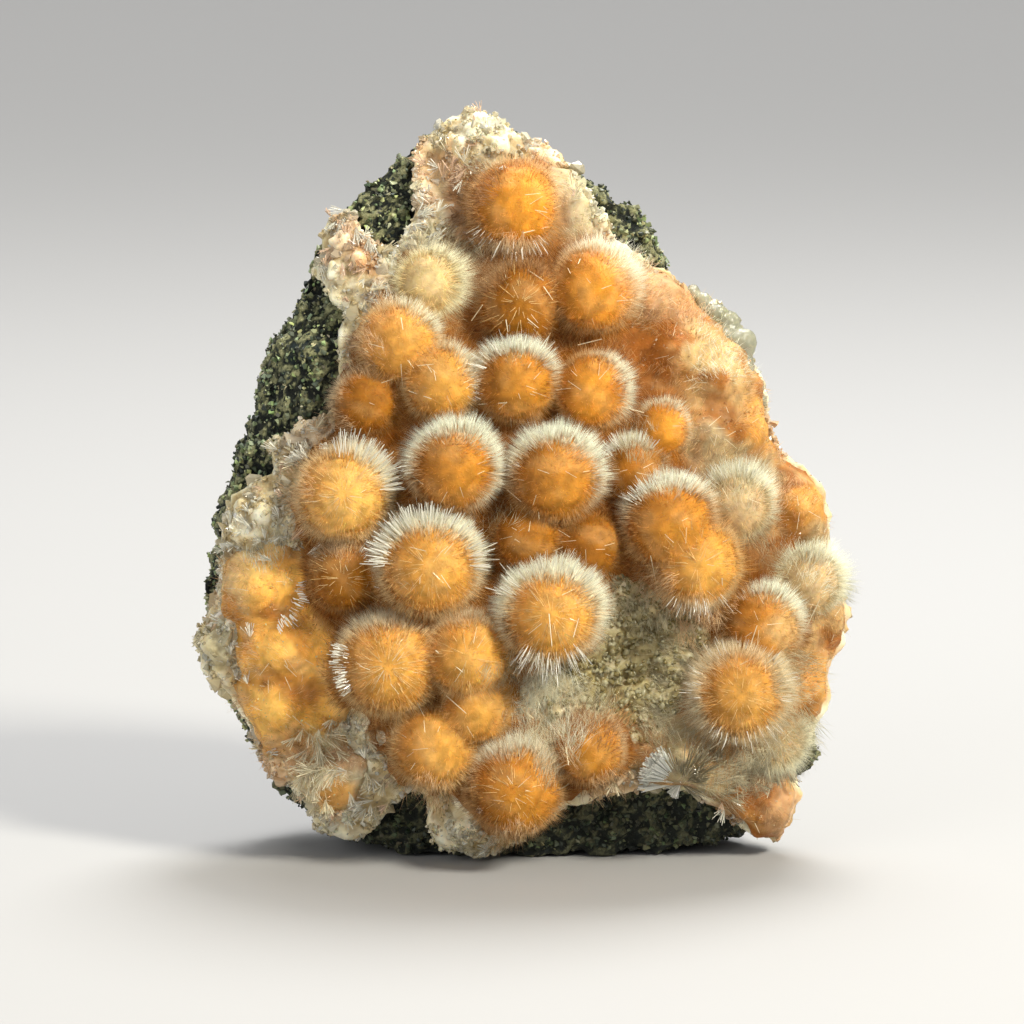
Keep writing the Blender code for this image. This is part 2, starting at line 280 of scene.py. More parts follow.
def tumbled(sizes):
    """Frames turned at random, each with its own three half lengths in millimetres."""
    first = unit(chance.normal(size=sizes.shape))
    second = unit(np.cross(first, chance.normal(size=sizes.shape)))
    return np.stack([first, second, np.cross(first, second)], axis=1) * sizes[:, :, None] * MM


def chips(name, corners, piece, count, weigh, small, large, tones):
    """Angular chips stuck on a piece's skin, in sizes from small to large, each in its own tone."""
    places = scattered(piece, count, weigh)
    sizes = chance.uniform(small, large, (count, 1)) * chance.uniform(0.55, 1.3, (count, 3))
    shape = chip_shape(corners)
    repeats = len(shape.verts)
    made = many(name, shape, places, tumbled(sizes))
    mark(made, "chip_colour", np.repeat(np.clip(tones(places), 0, 0.95), repeats, axis=0))
    return made


# The relief: how far apart its bumps stand, and how far they push the skin out.
ROCK_CELL = 0.45
KNOCKS, RIDGES, GRIT = (3.4, -1.6), (1.2, 0.9), (1.0, 0.7)
ROUNDS_OF_SMOOTHING = 3

rock = new_piece("matrix_rock", solid_copy("basalt_matrix"))
even_skin(rock, ROCK_CELL)
relief(rock, "VORONOI", *KNOCKS)
relief(rock, "VORONOI", *RIDGES, weight_1=-1.0, weight_2=1.0)
relief(rock, "CLOUDS", *GRIT)
settle(rock)
mark_proud(rock, ROUNDS_OF_SMOOTHING)

# From the dark of the pits to the pale tops of the crumbs: random tones, with painted shade in the pits and a
# painted highlight on the raised tops.
PIT, SHADE = (0.005, 0.008, 0.006), (0.040, 0.046, 0.024)
MOSS, CREST = (0.130, 0.136, 0.060), (0.480, 0.470, 0.240)
BLUE_GREY, SPECK_CREAM, FOOT_PAINTED_SHADE = (0.030, 0.065, 0.075), (0.60, 0.58, 0.38), (0.012, 0.017, 0.012)
BREAK_DARK, BREAK_PALE = (0.016, 0.020, 0.017), (0.095, 0.098, 0.074)

basalt = Finish("green black basalt")
proud = basalt.attribute("proud", "Fac")
patches = basalt.grain(0.45, 8.0, 0.85) * 0.80 + basalt.grain(2.5, 3.0) * 0.12
crumb = basalt.node("RGBToBW", {}, {0: basalt.cells(0.30, "Color")})
# How far each spot stands out lightens the tops and darkens the pits: painted highlight and painted shade.
stone_colour = basalt.node(
    "ValToRGB",
    {"stops": [(0.30, PIT), (0.43, SHADE), (0.56, MOSS), (0.76, CREST)]},
    {0: patches + crumb * 0.18 + basalt.band(proud, -0.06, 0.09) * 0.36 - 0.23},
)
blue_patches = basalt.band(basalt.grain(2.3, 2.0), 0.60, 0.72)
stone_colour = basalt.blend(blue_patches * 0.35, stone_colour, BLUE_GREY)
deep, height = (basalt.node("SeparateXYZ", {}, {0: basalt.place}, axis) for axis in "YZ")
# The sides and the back are a fresh break, darker and more even than the crumbly face.
broken_off = basalt.band(deep + basalt.grain(6.0, 3.0) * (8 * MM), 0 * MM, 9 * MM)
fresh_grain = basalt.band(basalt.grain(0.7, 8.0, 0.8), 0.35, 0.68)
fresh = basalt.blend(fresh_grain, BREAK_DARK, BREAK_PALE)
stone_colour = basalt.blend(broken_off * 0.85, stone_colour, fresh)
speck = basalt.band(basalt.grain(0.45, 1.0), 0.68, 0.74)
stone_colour = basalt.blend(speck * 0.7, stone_colour, SPECK_CREAM)
# Darker towards the foot: painted shade where the rock's lower part lies in shadow.
foot = 1 - basalt.band(height + basalt.grain(4.0, 2.0) * (8 * MM), 7 * MM, 16 * MM)
stone_colour = basalt.blend(foot * 0.7, stone_colour, FOOT_PAINTED_SHADE)
basalt.surface_is(Base_Color=stone_colour, Roughness=0.80 - speck * 0.5)
basalt.bump(basalt.grain(0.5, 6.0, 0.75), 0.60)
dress(rock, basalt, "basalt", "basalt_matrix")


# The crumbs of the rock.
# Where the rock lies bare beside the crust it has weathered to small angular crumbs, dark to pale
# green. They still hang in its skin.

# The rock's face leans back. Places on it are given in millimetres across, in and up from its foot.
LEAN = math.radians(8.0)
FACE_START = Vector((-2.6, -20.7, 1.2))
face_turn = np.array(Matrix.Rotation(-LEAN, 3, "X"))
FORWARD = Vector(face_turn @ (0.0, -1.0, 0.0))


def on_face(places):
    """Places on the leaning face (across, in, up, in millimetres), in the object's frame in metres."""
    return (np.asarray(places, float) @ face_turn.T + np.array(FACE_START)) * MM


def from_face(points):
    """The same, backwards."""
    return (np.asarray(points, float) / MM - np.array(FACE_START)) @ face_turn


class Depths:
    """How deep a surface lies behind the leaning face, read off once on an even grid."""

    STEP = 0.6
    LOW, HIGH = (-37.0, -3.0), (37.0, 80.0)
    FAR = 60.0  # Further than anything lies from the face, and the depth where there is nothing.

    def __init__(self, piece):
        mesh = piece.data
        tree = BVHTree.FromPolygons([v.co for v in mesh.vertices], [p.vertices for p in mesh.polygons])
        self.across = np.arange(self.LOW[0], self.HIGH[0], self.STEP)
        self.up = np.arange(self.LOW[1], self.HIGH[1], self.STEP)
        self.grid = np.full((len(self.across), len(self.up)), self.FAR)
        for i, across in enumerate(self.across):
            starts = on_face([(across, -self.FAR, up) for up in self.up])
            for j, start in enumerate(starts):
                hit = tree.ray_cast(Vector(start), -FORWARD)
                if hit[0] is not None:
                    self.grid[i, j] = hit[3] / MM - self.FAR

    def corners(self, across, up):
        """The four depths of the grid round each place, and how far along it lies between them."""
        u = np.clip((np.asarray(across) - self.LOW[0]) / self.STEP, 0, len(self.across) - 1.001)
        v = np.clip((np.asarray(up) - self.LOW[1]) / self.STEP, 0, len(self.up) - 1.001)
        i, j = u.astype(int), v.astype(int)
        return [self.grid[i + right, j + above] for right in (0, 1) for above in (0, 1)], u - i, v - j

    def at(self, across, up):
        """The depth at each place, in millimetres."""
        (low, low_above, high, high_above), u, v = self.corners(across, up)
        return (low * (1 - v) + low_above * v) * (1 - u) + (high * (1 - v) + high_above * v) * u

    def under(self, across, up):
        """Whether the surface lies behind each place and all round it."""
        return np.max(self.corners(across, up)[0], axis=0) < self.FAR


crust_depth = Depths(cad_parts["druse_crust"])

CRUMBS, CRUMB_CORNERS = 5600, 8
CRUMB_SIZES = (0.12, 0.40)
CRUMB_DARK, CRUMB_PALE = np.array((0.015, 0.021, 0.014)), np.array((0.62, 0.60, 0.34))

# No crumb or grain sits lower than this, so that none reaches the table.
ABOVE_TABLE = 1.0 * MM


def on_outcrops(places, normals):
    """Crumbs are commonest on the bare rock beside the crust, and few on the back and the sides."""
    spot = from_face(places)
    seen = (normals @ np.array(FORWARD) > 0.0) & ~crust_depth.under(spot[:, 0], spot[:, 2])
    return (0.10 + 2.0 * seen) * (places[:, 2] > ABOVE_TABLE)


def crumb_tones(places):
    """From near black to a pale yellow green, most of them dark, and darkest at the foot, where the darkening
    is painted shade.
    """
    light = chance.random((len(places), 1)) ** 1.9 * (0.25 + 0.75 * smooth(places[:, 2:], 5 * MM, 15 * MM))
    tones = CRUMB_DARK * (1 - light) + CRUMB_PALE * light
    return tones * chance.uniform((0.75, 0.90, 0.70), (1.05, 1.15, 1.15), tones.shape)


crumbs = chips("rock_crumbs", CRUMB_CORNERS, rock, CRUMBS, on_outcrops, *CRUMB_SIZES, crumb_tones)
crumbly = Finish("basalt crumbs")
crumbly.surface_is(Base_Color=crumbly.attribute("chip_colour"), Roughness=0.5)
dress(crumbs, crumbly, "basalt", flat=True)


# The pale crust.
# A skin of tiny milky crystals that grew over the rock's face before anything else did.
# It lies bare round the rim and in the hollow at the lower right.

# Lumps of milky crystal on the crust: across, up, radius.
LUMPS = [
    (-3.6, 73.0, 1.7), (-1.2, 71.8, 1.5), (-5.4, 71.6, 1.6), (4.2, 70.0, 1.2), (6.2, 67.8, 1.3),
    (2.2, 71.2, 1.2), (7.4, 66.2, 1.2), (8.6, 64.0, 1.2), (-29.4, 22.0, 1.9), (-28.8, 19.4, 1.7),
    (-28.2, 24.6, 1.6), (-26.8, 33.4, 1.7), (-26.8, 35.8, 1.4), (-24.8, 35.0, 1.7), (-26.0, 31.0, 1.3),
    (-17.0, 62.0, 1.5), (-15.2, 60.4, 1.4), (-17.4, 59.4, 1.4), (-5.2, 3.4, 1.4), (-3.4, 3.6, 1.3),
    (-16.6, 5.0, 1.4), (-14.4, 5.0, 1.3),
]

# Many small ones line the hollow.
HOLLOW, HOLLOW_RADIUS = (11.4, 20.0), 9.0
HOLLOW_TRIES = 420
for across, up in chance.uniform(-HOLLOW_RADIUS, HOLLOW_RADIUS, (HOLLOW_TRIES, 2)) + HOLLOW:
    if math.hypot(across - HOLLOW[0], up - HOLLOW[1]) < HOLLOW_RADIUS:
        LUMPS.append((across, up, chance.uniform(0.4, 0.9)))


def cloud(places, size, seed):
    """Soft random patches about that many millimetres across, from 0 to 1."""
    waves = np.random.default_rng(seed)
    ways = unit(waves.normal(size=(24, 3))) * waves.uniform(0.6, 1.8, (24, 1)) * math.pi / size
    return 0.5 + 0.5 * np.tanh(np.sin(places @ ways.T + waves.uniform(0, 6.3, 24)).sum(axis=1) / 3.2)


def stained(places, colours, stains):
    """Colours with ragged stains laid over them: across, up, radius, how strong, colour."""
    ragged = 0.65 + 0.7 * cloud(places, 2.2, 21)
    for across, up, radius, strength, colour in stains:
        away = np.hypot(places[:, 0] - across, places[:, 2] - up) * ragged
        share = strength * (1 - smooth(away, radius * 0.5, radius))[:, None]
        colours = colours * (1 - share) + np.array(colour) * share
    return colours


BUFF, IVORY, MILK = np.array((0.76, 0.63, 0.36)), np.array((0.92, 0.83, 0.57)), np.array((0.95, 0.92, 0.76))
OLIVE, UMBER, PEACH = (0.33, 0.270, 0.095), (0.42, 0.190, 0.060), (0.88, 0.52, 0.25)
ROSY, TAN, HOLLOW_SHADE_TINT = (0.90, 0.66, 0.44), (0.66, 0.52, 0.25), (0.62, 0.54, 0.40)

# Stains on the crust: across, up, radius, how strong, and the colour.
CRUST_STAINS = [
    (11.4, 20.0, 9.5, 0.85, OLIVE), (8.6, 26.5, 3.5, 0.4, TAN), (-7.6, 69.6, 3.2, 0.6, PEACH),
    (-9.0, 66.0, 2.6, 0.6, ROSY), (-4.6, 65.4, 3.6, 0.8, UMBER), (3.4, 71.0, 2.6, 0.5, PEACH),
    (-16.0, 62.6, 3.4, 0.7, ROSY), (-14.2, 60.2, 1.8, 0.8, PEACH), (-12.8, 57.6, 2.2, 0.5, PEACH),
    (-20.4, 43.0, 3.0, 0.5, ROSY), (-22.4, 38.4, 2.6, 0.5, TAN), (-27.0, 27.0, 2.6, 0.6, PEACH),
    (-29.6, 21.4, 2.6, 0.6, OLIVE), (-23.8, 9.8, 3.2, 0.6, PEACH), (-17.2, 6.6, 2.0, 0.8, PEACH),
    (-13.0, 6.4, 2.4, 0.6, TAN), (9.6, 6.6, 3.4, 0.5, PEACH), (20.0, 4.4, 3.0, 0.7, UMBER),
    (31.4, 19.0, 4.5, 0.8, PEACH), (32.6, 26.0, 3.5, 0.6, PEACH), (28.6, 36.6, 4.5, 0.8, PEACH),
    (25.4, 42.0, 4.0, 0.7, PEACH), (16.4, 58.4, 3.0, 0.6, PEACH), (28.4, 5.0, 4.0, 0.8, PEACH),
]


def crust_tones(places):
    """Cream to white in soft drifts, with the stains."""
    drift = smooth(cloud(places, 5.0, 11), 0.3, 0.7)[:, None]
    fine = smooth(cloud(places, 1.3, 12), 0.4, 0.9)[:, None] * 0.5
    colours = BUFF * (1 - drift) + IVORY * drift
    return stained(places, colours * (1 - fine) + MILK * fine, CRUST_STAINS)


def balls_on_crust(build, balls, sunk):
    """Adds balls given by across, up and radius, sunk into the crust by that share of the radius."""
    for across, up, radius in balls:
        if crust_depth.under(across, up):
            place = Vector(on_face((across, float(crust_depth.at(across, up)) + sunk * radius, up)))
            bmesh.ops.create_icosphere(
                build, subdivisions=2, radius=radius * MM, matrix=Matrix.Translation(place)
            )


# The crust's cells, how deep its lumps are sunk in it, and its relief.
CRUST_CELL, LUMPS_SUNK = 0.38, 0.2
HUMPS, FACETS = (2.4, -1.0), (1.0, 0.6)
CRUST_SMOOTHING = 8

build = solid_copy("druse_crust")
balls_on_crust(build, LUMPS, LUMPS_SUNK)
crust = new_piece("pale_crust", build)
even_skin(crust, CRUST_CELL)
relief(crust, "VORONOI", *HUMPS)
relief(crust, "VORONOI", *FACETS, weight_1=-1.0, weight_2=1.0)
settle(crust)
mark_proud(crust, CRUST_SMOOTHING)
mark(crust, "tone", crust_tones(from_face(read(crust.data.vertices, "co"))))

milky = Finish("milky crust")
tone = milky.attribute("tone")
# Painted shade in the crust's hollows and a painted highlight on its raised bumps, with some random grain
# mixed in.
raised = milky.band(milky.attribute("proud", "Fac"), -0.15, 0.15) * 0.7 + milky.grain(0.7, 4.0, 0.7) * 0.3
painted_hollow_shade = milky.blend(1.0, tone, HOLLOW_SHADE_TINT, "MULTIPLY")
painted_top_highlight = milky.blend(1.0, tone, (1.1, 1.1, 1.1), "MULTIPLY")
milky.surface_is(
    Base_Color=milky.blend(raised, painted_hollow_shade, painted_top_highlight),
    Roughness=0.25 + milky.grain(1.2) * 0.3,
    Subsurface_Weight=0.4,
    Subsurface_Radius=(1.4 * MM, 1.1 * MM, 0.7 * MM),
    Subsurface_Scale=1.0,
)
milky.bump(milky.grain(0.4, 3.0), 0.15)
dress(crust, milky, "pale_crust", "druse_crust")


# The clear knobs.
# A row of smooth rounded knobs of nearly clear crystal at the upper right edge, and one at the left.
# They grew on the crust and are sunk in it.

# The knobs: across, up, radius.
KNOBS = [
    (18.0, 57.2, 0.9), (19.2, 56.2, 1.0), (20.4, 55.0, 1.0), (21.6, 54.0, 1.3), (22.8, 52.0, 1.7),
    (23.0, 49.8, 1.4), (24.2, 47.8, 1.1), (24.8, 46.4, 0.7), (21.2, 52.6, 1.1), (-12.0, 66.4, 1.0),
]
KNOB_CELL, KNOBS_SUNK = 0.25, 0.3
DENTS = (1.6, 0.6)
BOTTLE_GREEN, PALE_GREEN = (0.40, 0.41, 0.27), (0.80, 0.80, 0.62)

build = bmesh.new()
balls_on_crust(build, KNOBS, KNOBS_SUNK)
knobs = new_piece("clear_knobs", build)
even_skin(knobs, KNOB_CELL)
relief(knobs, "CLOUDS", *DENTS)
settle(knobs)
knob_glass = Finish("clear knobs")
knob_glass.surface_is(
    Base_Color=knob_glass.blend(knob_glass.grain(1.6, 3.0), BOTTLE_GREEN, PALE_GREEN),
    Roughness=0.22,
    Transmission_Weight=0.6,
    IOR=1.5,
)
knob_glass.bump(knob_glass.grain(0.7, 3.0), 0.2)
dress(knobs, knob_glass, "pale_crust")


# The hard cores of the balls.
# Each ball is a bundle of needles that all start at its middle. Inside they are solid and
# amber to orange. Felt of the same fibres fills the valleys, and on the flanks the balls run together.

# Each kind of ball: the core's share of its radius, its lit and its dark colour, the colour of its
# fur and of its white fringe, and whether it has run together with its neighbours.
KINDS = {
    "glow": (
        0.76, (0.76, 0.320, 0.032), (0.35, 0.132, 0.018),
        (0.62, 0.37, 0.150), (0.86, 0.86, 0.66), False,
    ),
    "amber": (
        0.76, (0.56, 0.238, 0.026), (0.26, 0.096, 0.014),
        (0.56, 0.33, 0.135), (0.86, 0.88, 0.69), False,
    ),
    "golden": (
        0.76, (0.71, 0.360, 0.066), (0.41, 0.178, 0.036),
        (0.67, 0.45, 0.205), (0.86, 0.86, 0.66), False,
    ),
    "honey": (
        0.76, (0.84, 0.475, 0.110), (0.50, 0.250, 0.060),
        (0.75, 0.54, 0.280), (0.88, 0.88, 0.68), False,
    ),
    "star": (
        0.74, (0.62, 0.315, 0.060), (0.36, 0.160, 0.034),
        (0.62, 0.43, 0.200), (0.86, 0.76, 0.52), False,
    ),
    "brown": (
        0.76, (0.39, 0.150, 0.012), (0.21, 0.072, 0.006),
        (0.45, 0.24, 0.085), (0.84, 0.84, 0.62), False,
    ),
    "grey": (
        0.66, (0.56, 0.400, 0.200), (0.40, 0.280, 0.130),
        (0.60, 0.53, 0.340), (0.80, 0.80, 0.60), False,
    ),
    "cream": (
        0.62, (0.70, 0.520, 0.240), (0.50, 0.380, 0.170),
        (0.80, 0.72, 0.440), (0.86, 0.84, 0.60), False,
    ),
    "flank": (
        0.75, (0.48, 0.220, 0.052), (0.33, 0.120, 0.022),
        (0.62, 0.42, 0.205), (0.84, 0.84, 0.62), True,
    ),
    "edge": (
        0.75, (0.84, 0.450, 0.090), (0.60, 0.290, 0.058),
        (0.76, 0.53, 0.260), (0.84, 0.84, 0.62), True,
    ),
    "ash": (
        0.75, (0.44, 0.360, 0.200), (0.32, 0.240, 0.120),
        (0.60, 0.54, 0.360), (0.90, 0.90, 0.76), True,
    ),
    "glass": (
        0.75, (0.64, 0.530, 0.320), (0.50, 0.400, 0.220),
        (0.78, 0.72, 0.520), (0.90, 0.90, 0.76), True,
    ),
}

# The balls: kind, across, up, radius to the needle tips, height of the centre above the crust, and
# the white fringe: the direction it looks in degrees (0 is right, 90 is up), half its width and how white.
# The fringe is partly the needles' own white and partly painted light on one side of the ball.
BALLS = {
    "crown": ("glow", 0.2, 65.6, 5.6, 1.6, -90, 50, 0.35),
    "crown_side": ("glass", 5.6, 66.2, 3.6, 0.2, 0, 0, 0.0),
    "shoulder": ("glow", 8.1, 57.3, 5.4, 2.4, 50, 70, 0.8),
    "shoulder_low": ("brown", 0.8, 55.8, 5.2, 1.4, 130, 50, 0.1),
    "pale_west": ("cream", -8.2, 58.0, 4.7, 1.2, 10, 90, 0.7),
    "west_high": ("golden", -11.2, 52.0, 5.0, 1.6, 50, 55, 0.8),
    "west_mid": ("golden", -7.0, 48.0, 4.6, 1.8, 30, 60, 0.8),
    "west_low": ("brown", -14.4, 46.2, 4.2, 1.0, 150, 60, 0.3),
    "middle_high": ("amber", 0.4, 48.0, 4.9, 2.4, 80, 80, 1.0),
    "middle_high_east": ("glow", 7.8, 47.2, 4.7, 1.8, 20, 65, 0.8),
    "centre_west": ("amber", -5.7, 39.7, 5.4, 3.0, 70, 120, 1.0),
    "centre_east": ("amber", 4.2, 38.8, 5.6, 2.8, 75, 100, 1.0),
    "under_centre": ("brown", 1.4, 32.8, 4.2, 1.4, 0, 0, 0.0),
    "under_east": ("brown", 7.6, 32.0, 4.0, 0.8, 0, 0, 0.0),
    "star_west": ("honey", -16.6, 37.0, 5.8, 1.8, 45, 55, 0.8),
    "star_middle": ("golden", -8.1, 30.0, 6.1, 3.2, 80, 100, 1.0),
    "heart": ("golden", 3.8, 25.4, 6.0, 3.4, 80, 120, 1.0),
    "west_small": ("brown", -16.7, 28.8, 4.3, 1.4, 90, 50, 0.3),
    "edge_high": ("edge", -24.8, 27.4, 4.9, 1.2, 0, 0, 0.0),
    "edge_mid": ("edge", -22.8, 21.2, 4.4, 1.4, 0, 0, 0.0),
    "edge_low": ("edge", -23.0, 15.8, 4.8, 1.2, 0, 0, 0.0),
    "great_west": ("golden", -12.2, 20.2, 6.2, 3.0, 95, 60, 0.5),
    "great_side": ("golden", -4.4, 21.2, 5.2, 2.4, 90, 50, 0.4),
    "low_saddle": ("golden", -3.6, 15.8, 4.2, 2.0, 0, 0, 0.0),
    "low_west": ("golden", -7.8, 12.0, 5.2, 2.4, 0, 0, 0.0),
    "low_middle": ("amber", 0.2, 7.9, 5.9, 2.4, 95, 60, 0.7),
    "low_east": ("amber", 7.6, 11.8, 4.4, 2.0, 20, 50, 0.2),
    "flank_top": ("flank", 14.0, 56.2, 4.2, 0.6, 0, 0, 0.0),
    "flank_high": ("flank", 16.2, 51.0, 4.4, 0.8, 0, 0, 0.0),
    "flank_out": ("flank", 20.4, 48.6, 4.3, 0.6, 0, 0, 0.0),
    "flank_mid": ("flank", 19.2, 43.4, 3.9, 0.8, 0, 0, 0.0),
    "flank_low": ("flank", 23.0, 43.4, 3.8, 0.6, 0, 0, 0.0),
    "little_east": ("glow", 14.9, 43.6, 3.4, 1.4, 60, 90, 0.7),
    "east_fringe": ("brown", 12.0, 39.4, 4.0, 1.4, 95, 65, 0.9),
    "great_east": ("amber", 15.4, 34.2, 5.6, 3.0, 95, 70, 1.0),
    "great_east_low": ("golden", 18.2, 30.2, 5.4, 2.8, -90, 40, 0.3),
    "grey_east": ("grey", 22.2, 36.0, 4.9, 1.6, 90, 100, 0.8),
    "rim_high": ("flank", 28.8, 35.6, 4.7, 0.8, 0, 0, 0.0),
    "rim_grey": ("grey", 29.6, 28.4, 4.6, 1.4, 80, 120, 0.9),
    "rim_point": ("flank", 32.0, 24.8, 2.6, 0.4, 0, 0, 0.0),
    "lower_east": ("amber", 24.8, 24.0, 4.9, 2.0, 60, 70, 1.0),
    "low_star": ("star", 22.6, 17.4, 6.0, 3.0, 100, 180, 0.6),
    "rim_low": ("flank", 29.6, 17.2, 4.4, 0.8, 0, 0, 0.0),
    "rim_grey_low": ("grey", 26.4, 12.4, 4.2, 0.8, -40, 120, 0.7),
    "corner": ("flank", 26.8, 5.2, 3.8, 0.2, 0, 0, 0.0),
    "corner_in": ("flank", 22.8, 5.0, 3.0, -0.4, 0, 0, 0.0),
    "broken": ("ash", 17.0, 10.4, 4.6, 0.6, 0, 0, 0.0),
    "south_west": ("glass", -18.6, 8.8, 4.2, 0.4, 0, 0, 0.0),
}

kinds = [KINDS[row[0]] for row in BALLS.values()]
table = np.array([row[1:] for row in BALLS.values()])
spots, tip_radius, stand = table[:, :2], table[:, 2], table[:, 3]
fringe_way, fringe_half, fringe_white = table[:, 4], table[:, 5], table[:, 6]
core_share, core_lit, core_dark, fur_tint, fringe_tint, run_together = (np.array(c) for c in zip(*kinds))
core_radius = tip_radius * core_share
centres = np.column_stack([spots[:, 0], crust_depth.at(*spots.T) - stand, spots[:, 1]])


# The felt: how thick it lies on the crust, how far its solid goes back, how softly it joins the balls
# (more is sharper), and where it ends.
FELT, FELT_BACK, FELT_SOFT, FELT_EDGE = 0.7, 2.6, 2.4, 0.55
# How gently it thins out, how deep it dives into the crust where it ends, and how steeply a ball's
# front falls away past its rim.
FELT_FADE, DEEP_IN_CRUST, FALL_OFF = 0.35, 0.9, 2.0


def distances(across, up):
    """How far each place on the face lies from each ball's middle."""
    return np.hypot(np.asarray(across)[:, None] - spots[:, 0], np.asarray(up)[:, None] - spots[:, 1])


def felted(across, up):
    """How thick the felt is: thick among several balls, thin beside a lone one, with a ragged edge."""
    gaps = np.clip(distances(across, up) - core_radius, 0, None)
    ragged = cloud(np.column_stack([across, np.zeros(len(across)), up]), 1.6, 22)
    return np.exp(-gaps / 1.5).sum(axis=1) + FELT_FADE * (ragged - 0.5)


def well_inside(across, up):
    """1 inside the crust's outline, and down to 0 at the outline itself."""
    ways = [(math.cos(turn), math.sin(turn)) for turn in range(6)]
    ring = [(reach * u, reach * v) for reach in (0.7, 1.4) for u, v in ways]
    return smooth(np.mean([crust_depth.under(across + u, up + v) for u, v in ring], axis=0), 0.4, 0.95)


def felt_depth(across, up):
    """The skin that joins the balls: their fronts and the felt between, softly run together."""
    away = distances(across, up)
    round_front = np.sqrt(np.clip(core_radius**2 - away**2, 0, None))
    round_front -= FALL_OFF * np.clip(away - core_radius, 0, None)
    mound = tip_radius * 0.75 * (1 - smooth(away, 0, tip_radius * 1.1)) - 0.6
    mound -= FALL_OFF * np.clip(away - tip_radius, 0, None)
    fronts = centres[:, 1] - np.where(run_together, mound, round_front)
    thick = smooth(felted(across, up), FELT_EDGE, FELT_EDGE + FELT_FADE) * well_inside(across, up)
    crust_level = crust_depth.at(across, up)
    layers = np.column_stack([fronts, crust_level + DEEP_IN_CRUST - (DEEP_IN_CRUST + FELT) * thick])
    least = layers.min(axis=1)
    joined = least - np.log(np.exp(-FELT_SOFT * (layers - least[:, None])).sum(axis=1)) / FELT_SOFT
    return crust_level + 0.4 + (joined - crust_level - 0.4) * np.sqrt(thick)


# The felt is a grid pushed to its depth, with a back. Round cores are then set in it.
WIDE, HIGH, MIDDLE_UP, FELT_STEP = 74.0, 84.0, 38.0, 0.5
CORE_CELL = 0.40
SWELLS = (1.8, 0.5)

build = bmesh.new()
upright = Matrix.Rotation(math.pi / 2, 4, "X")
bmesh.ops.create_grid(
    build, x_segments=round(WIDE / FELT_STEP), y_segments=round(HIGH / FELT_STEP), size=0.5, matrix=upright
)
places = np.array([v.co for v in build.verts])
across, up = places[:, 0] * WIDE, MIDDLE_UP + places[:, 2] * HIGH
deep = felt_depth(across, up)
bare = (felted(across, up) < FELT_EDGE) | ~crust_depth.under(across, up)
for vert, place in zip(build.verts, on_face(np.column_stack([across, deep, up]))):
    vert.co = place
bmesh.ops.delete(build, geom=[v for v, gone in zip(build.verts, bare) if gone], context="VERTS")
pushed = bmesh.ops.extrude_face_region(build, geom=list(build.faces))["geom"]
for vert in (item for item in pushed if isinstance(item, bmesh.types.BMVert)):
    vert.co -= FORWARD * FELT_BACK * MM
bmesh.ops.recalc_face_normals(build, faces=build.faces)
for centre, radius in zip(centres[~run_together], core_radius[~run_together]):
    place = Matrix.Translation(Vector(on_face(centre)))
    bmesh.ops.create_icosphere(build, subdivisions=4, radius=radius * MM, matrix=place)
cores = new_piece("ball_cores", build)
even_skin(cores, CORE_CELL)
relief(cores, "CLOUDS", *SWELLS)
settle(cores)

# The way each core's painted lit side looks, and the colours of the felt; its valley brown is partly painted
# shade.
LIT_SIDE = np.array((0.62, -0.55, -0.12))
VALLEY_BROWN_AND_SHADE = np.array((0.21, 0.062, 0.005))
RUST = np.array((0.42, 0.150, 0.028))
PALE = np.array((0.72, 0.500, 0.220))
DEEP_RUST, SAND, HAZE = (0.32, 0.105, 0.014), (0.66, 0.46, 0.20), (0.50, 0.39, 0.21)
GOLD, BLUSH, HONEY = (0.68, 0.34, 0.070), (0.60, 0.36, 0.17), (0.88, 0.50, 0.11)

# Stains on the felt: across, up, radius, how strong, and the colour.
FELT_STAINS = [
    (13.2, 50.4, 4.4, 0.85, DEEP_RUST), (15.6, 53.4, 2.6, 0.7, DEEP_RUST), (13.4, 58.2, 4.2, 0.7, BLUSH),
    (17.0, 56.4, 2.6, 0.5, BLUSH), (20.0, 51.0, 3.4, 0.8, SAND), (18.6, 47.0, 2.6, 0.6, SAND),
    (22.4, 47.4, 2.2, 0.5, SAND), (20.6, 44.8, 2.4, 0.7, DEEP_RUST), (25.0, 44.2, 2.8, 0.8, GOLD),
    (20.2, 41.4, 3.0, 0.8, HAZE), (24.4, 38.4, 2.8, 0.7, HAZE), (29.6, 36.2, 3.0, 0.6, GOLD),
    (31.0, 32.4, 2.4, 0.6, HAZE), (28.0, 22.6, 2.8, 0.6, SAND), (27.0, 19.4, 2.6, 0.7, HAZE),
    (30.4, 18.4, 2.8, 0.8, GOLD), (31.6, 25.2, 2.4, 0.6, SAND), (-25.6, 31.2, 2.8, 0.9, SAND),
    (-27.4, 28.4, 2.2, 0.8, SAND), (-24.4, 28.6, 2.8, 0.6, HONEY), (-24.0, 24.8, 1.8, 0.6, RUST),
    (-24.2, 22.0, 2.8, 0.8, HONEY), (-23.8, 18.6, 1.7, 0.6, RUST), (-24.2, 15.4, 2.8, 0.8, HONEY),
    (-21.4, 18.0, 1.8, 0.5, RUST), (-22.0, 11.4, 2.6, 0.6, BLUSH), (-17.4, 6.8, 2.0, 0.8, GOLD),
    (27.2, 5.4, 3.0, 0.7, BLUSH), (24.0, 7.4, 2.4, 0.8, DEEP_RUST), (21.6, 4.6, 2.6, 0.6, DEEP_RUST),
]


def outside_cores(places):
    """How far each place lies outside each ball's core."""
    return np.linalg.norm(places[:, None, :] - centres, axis=2) - core_radius


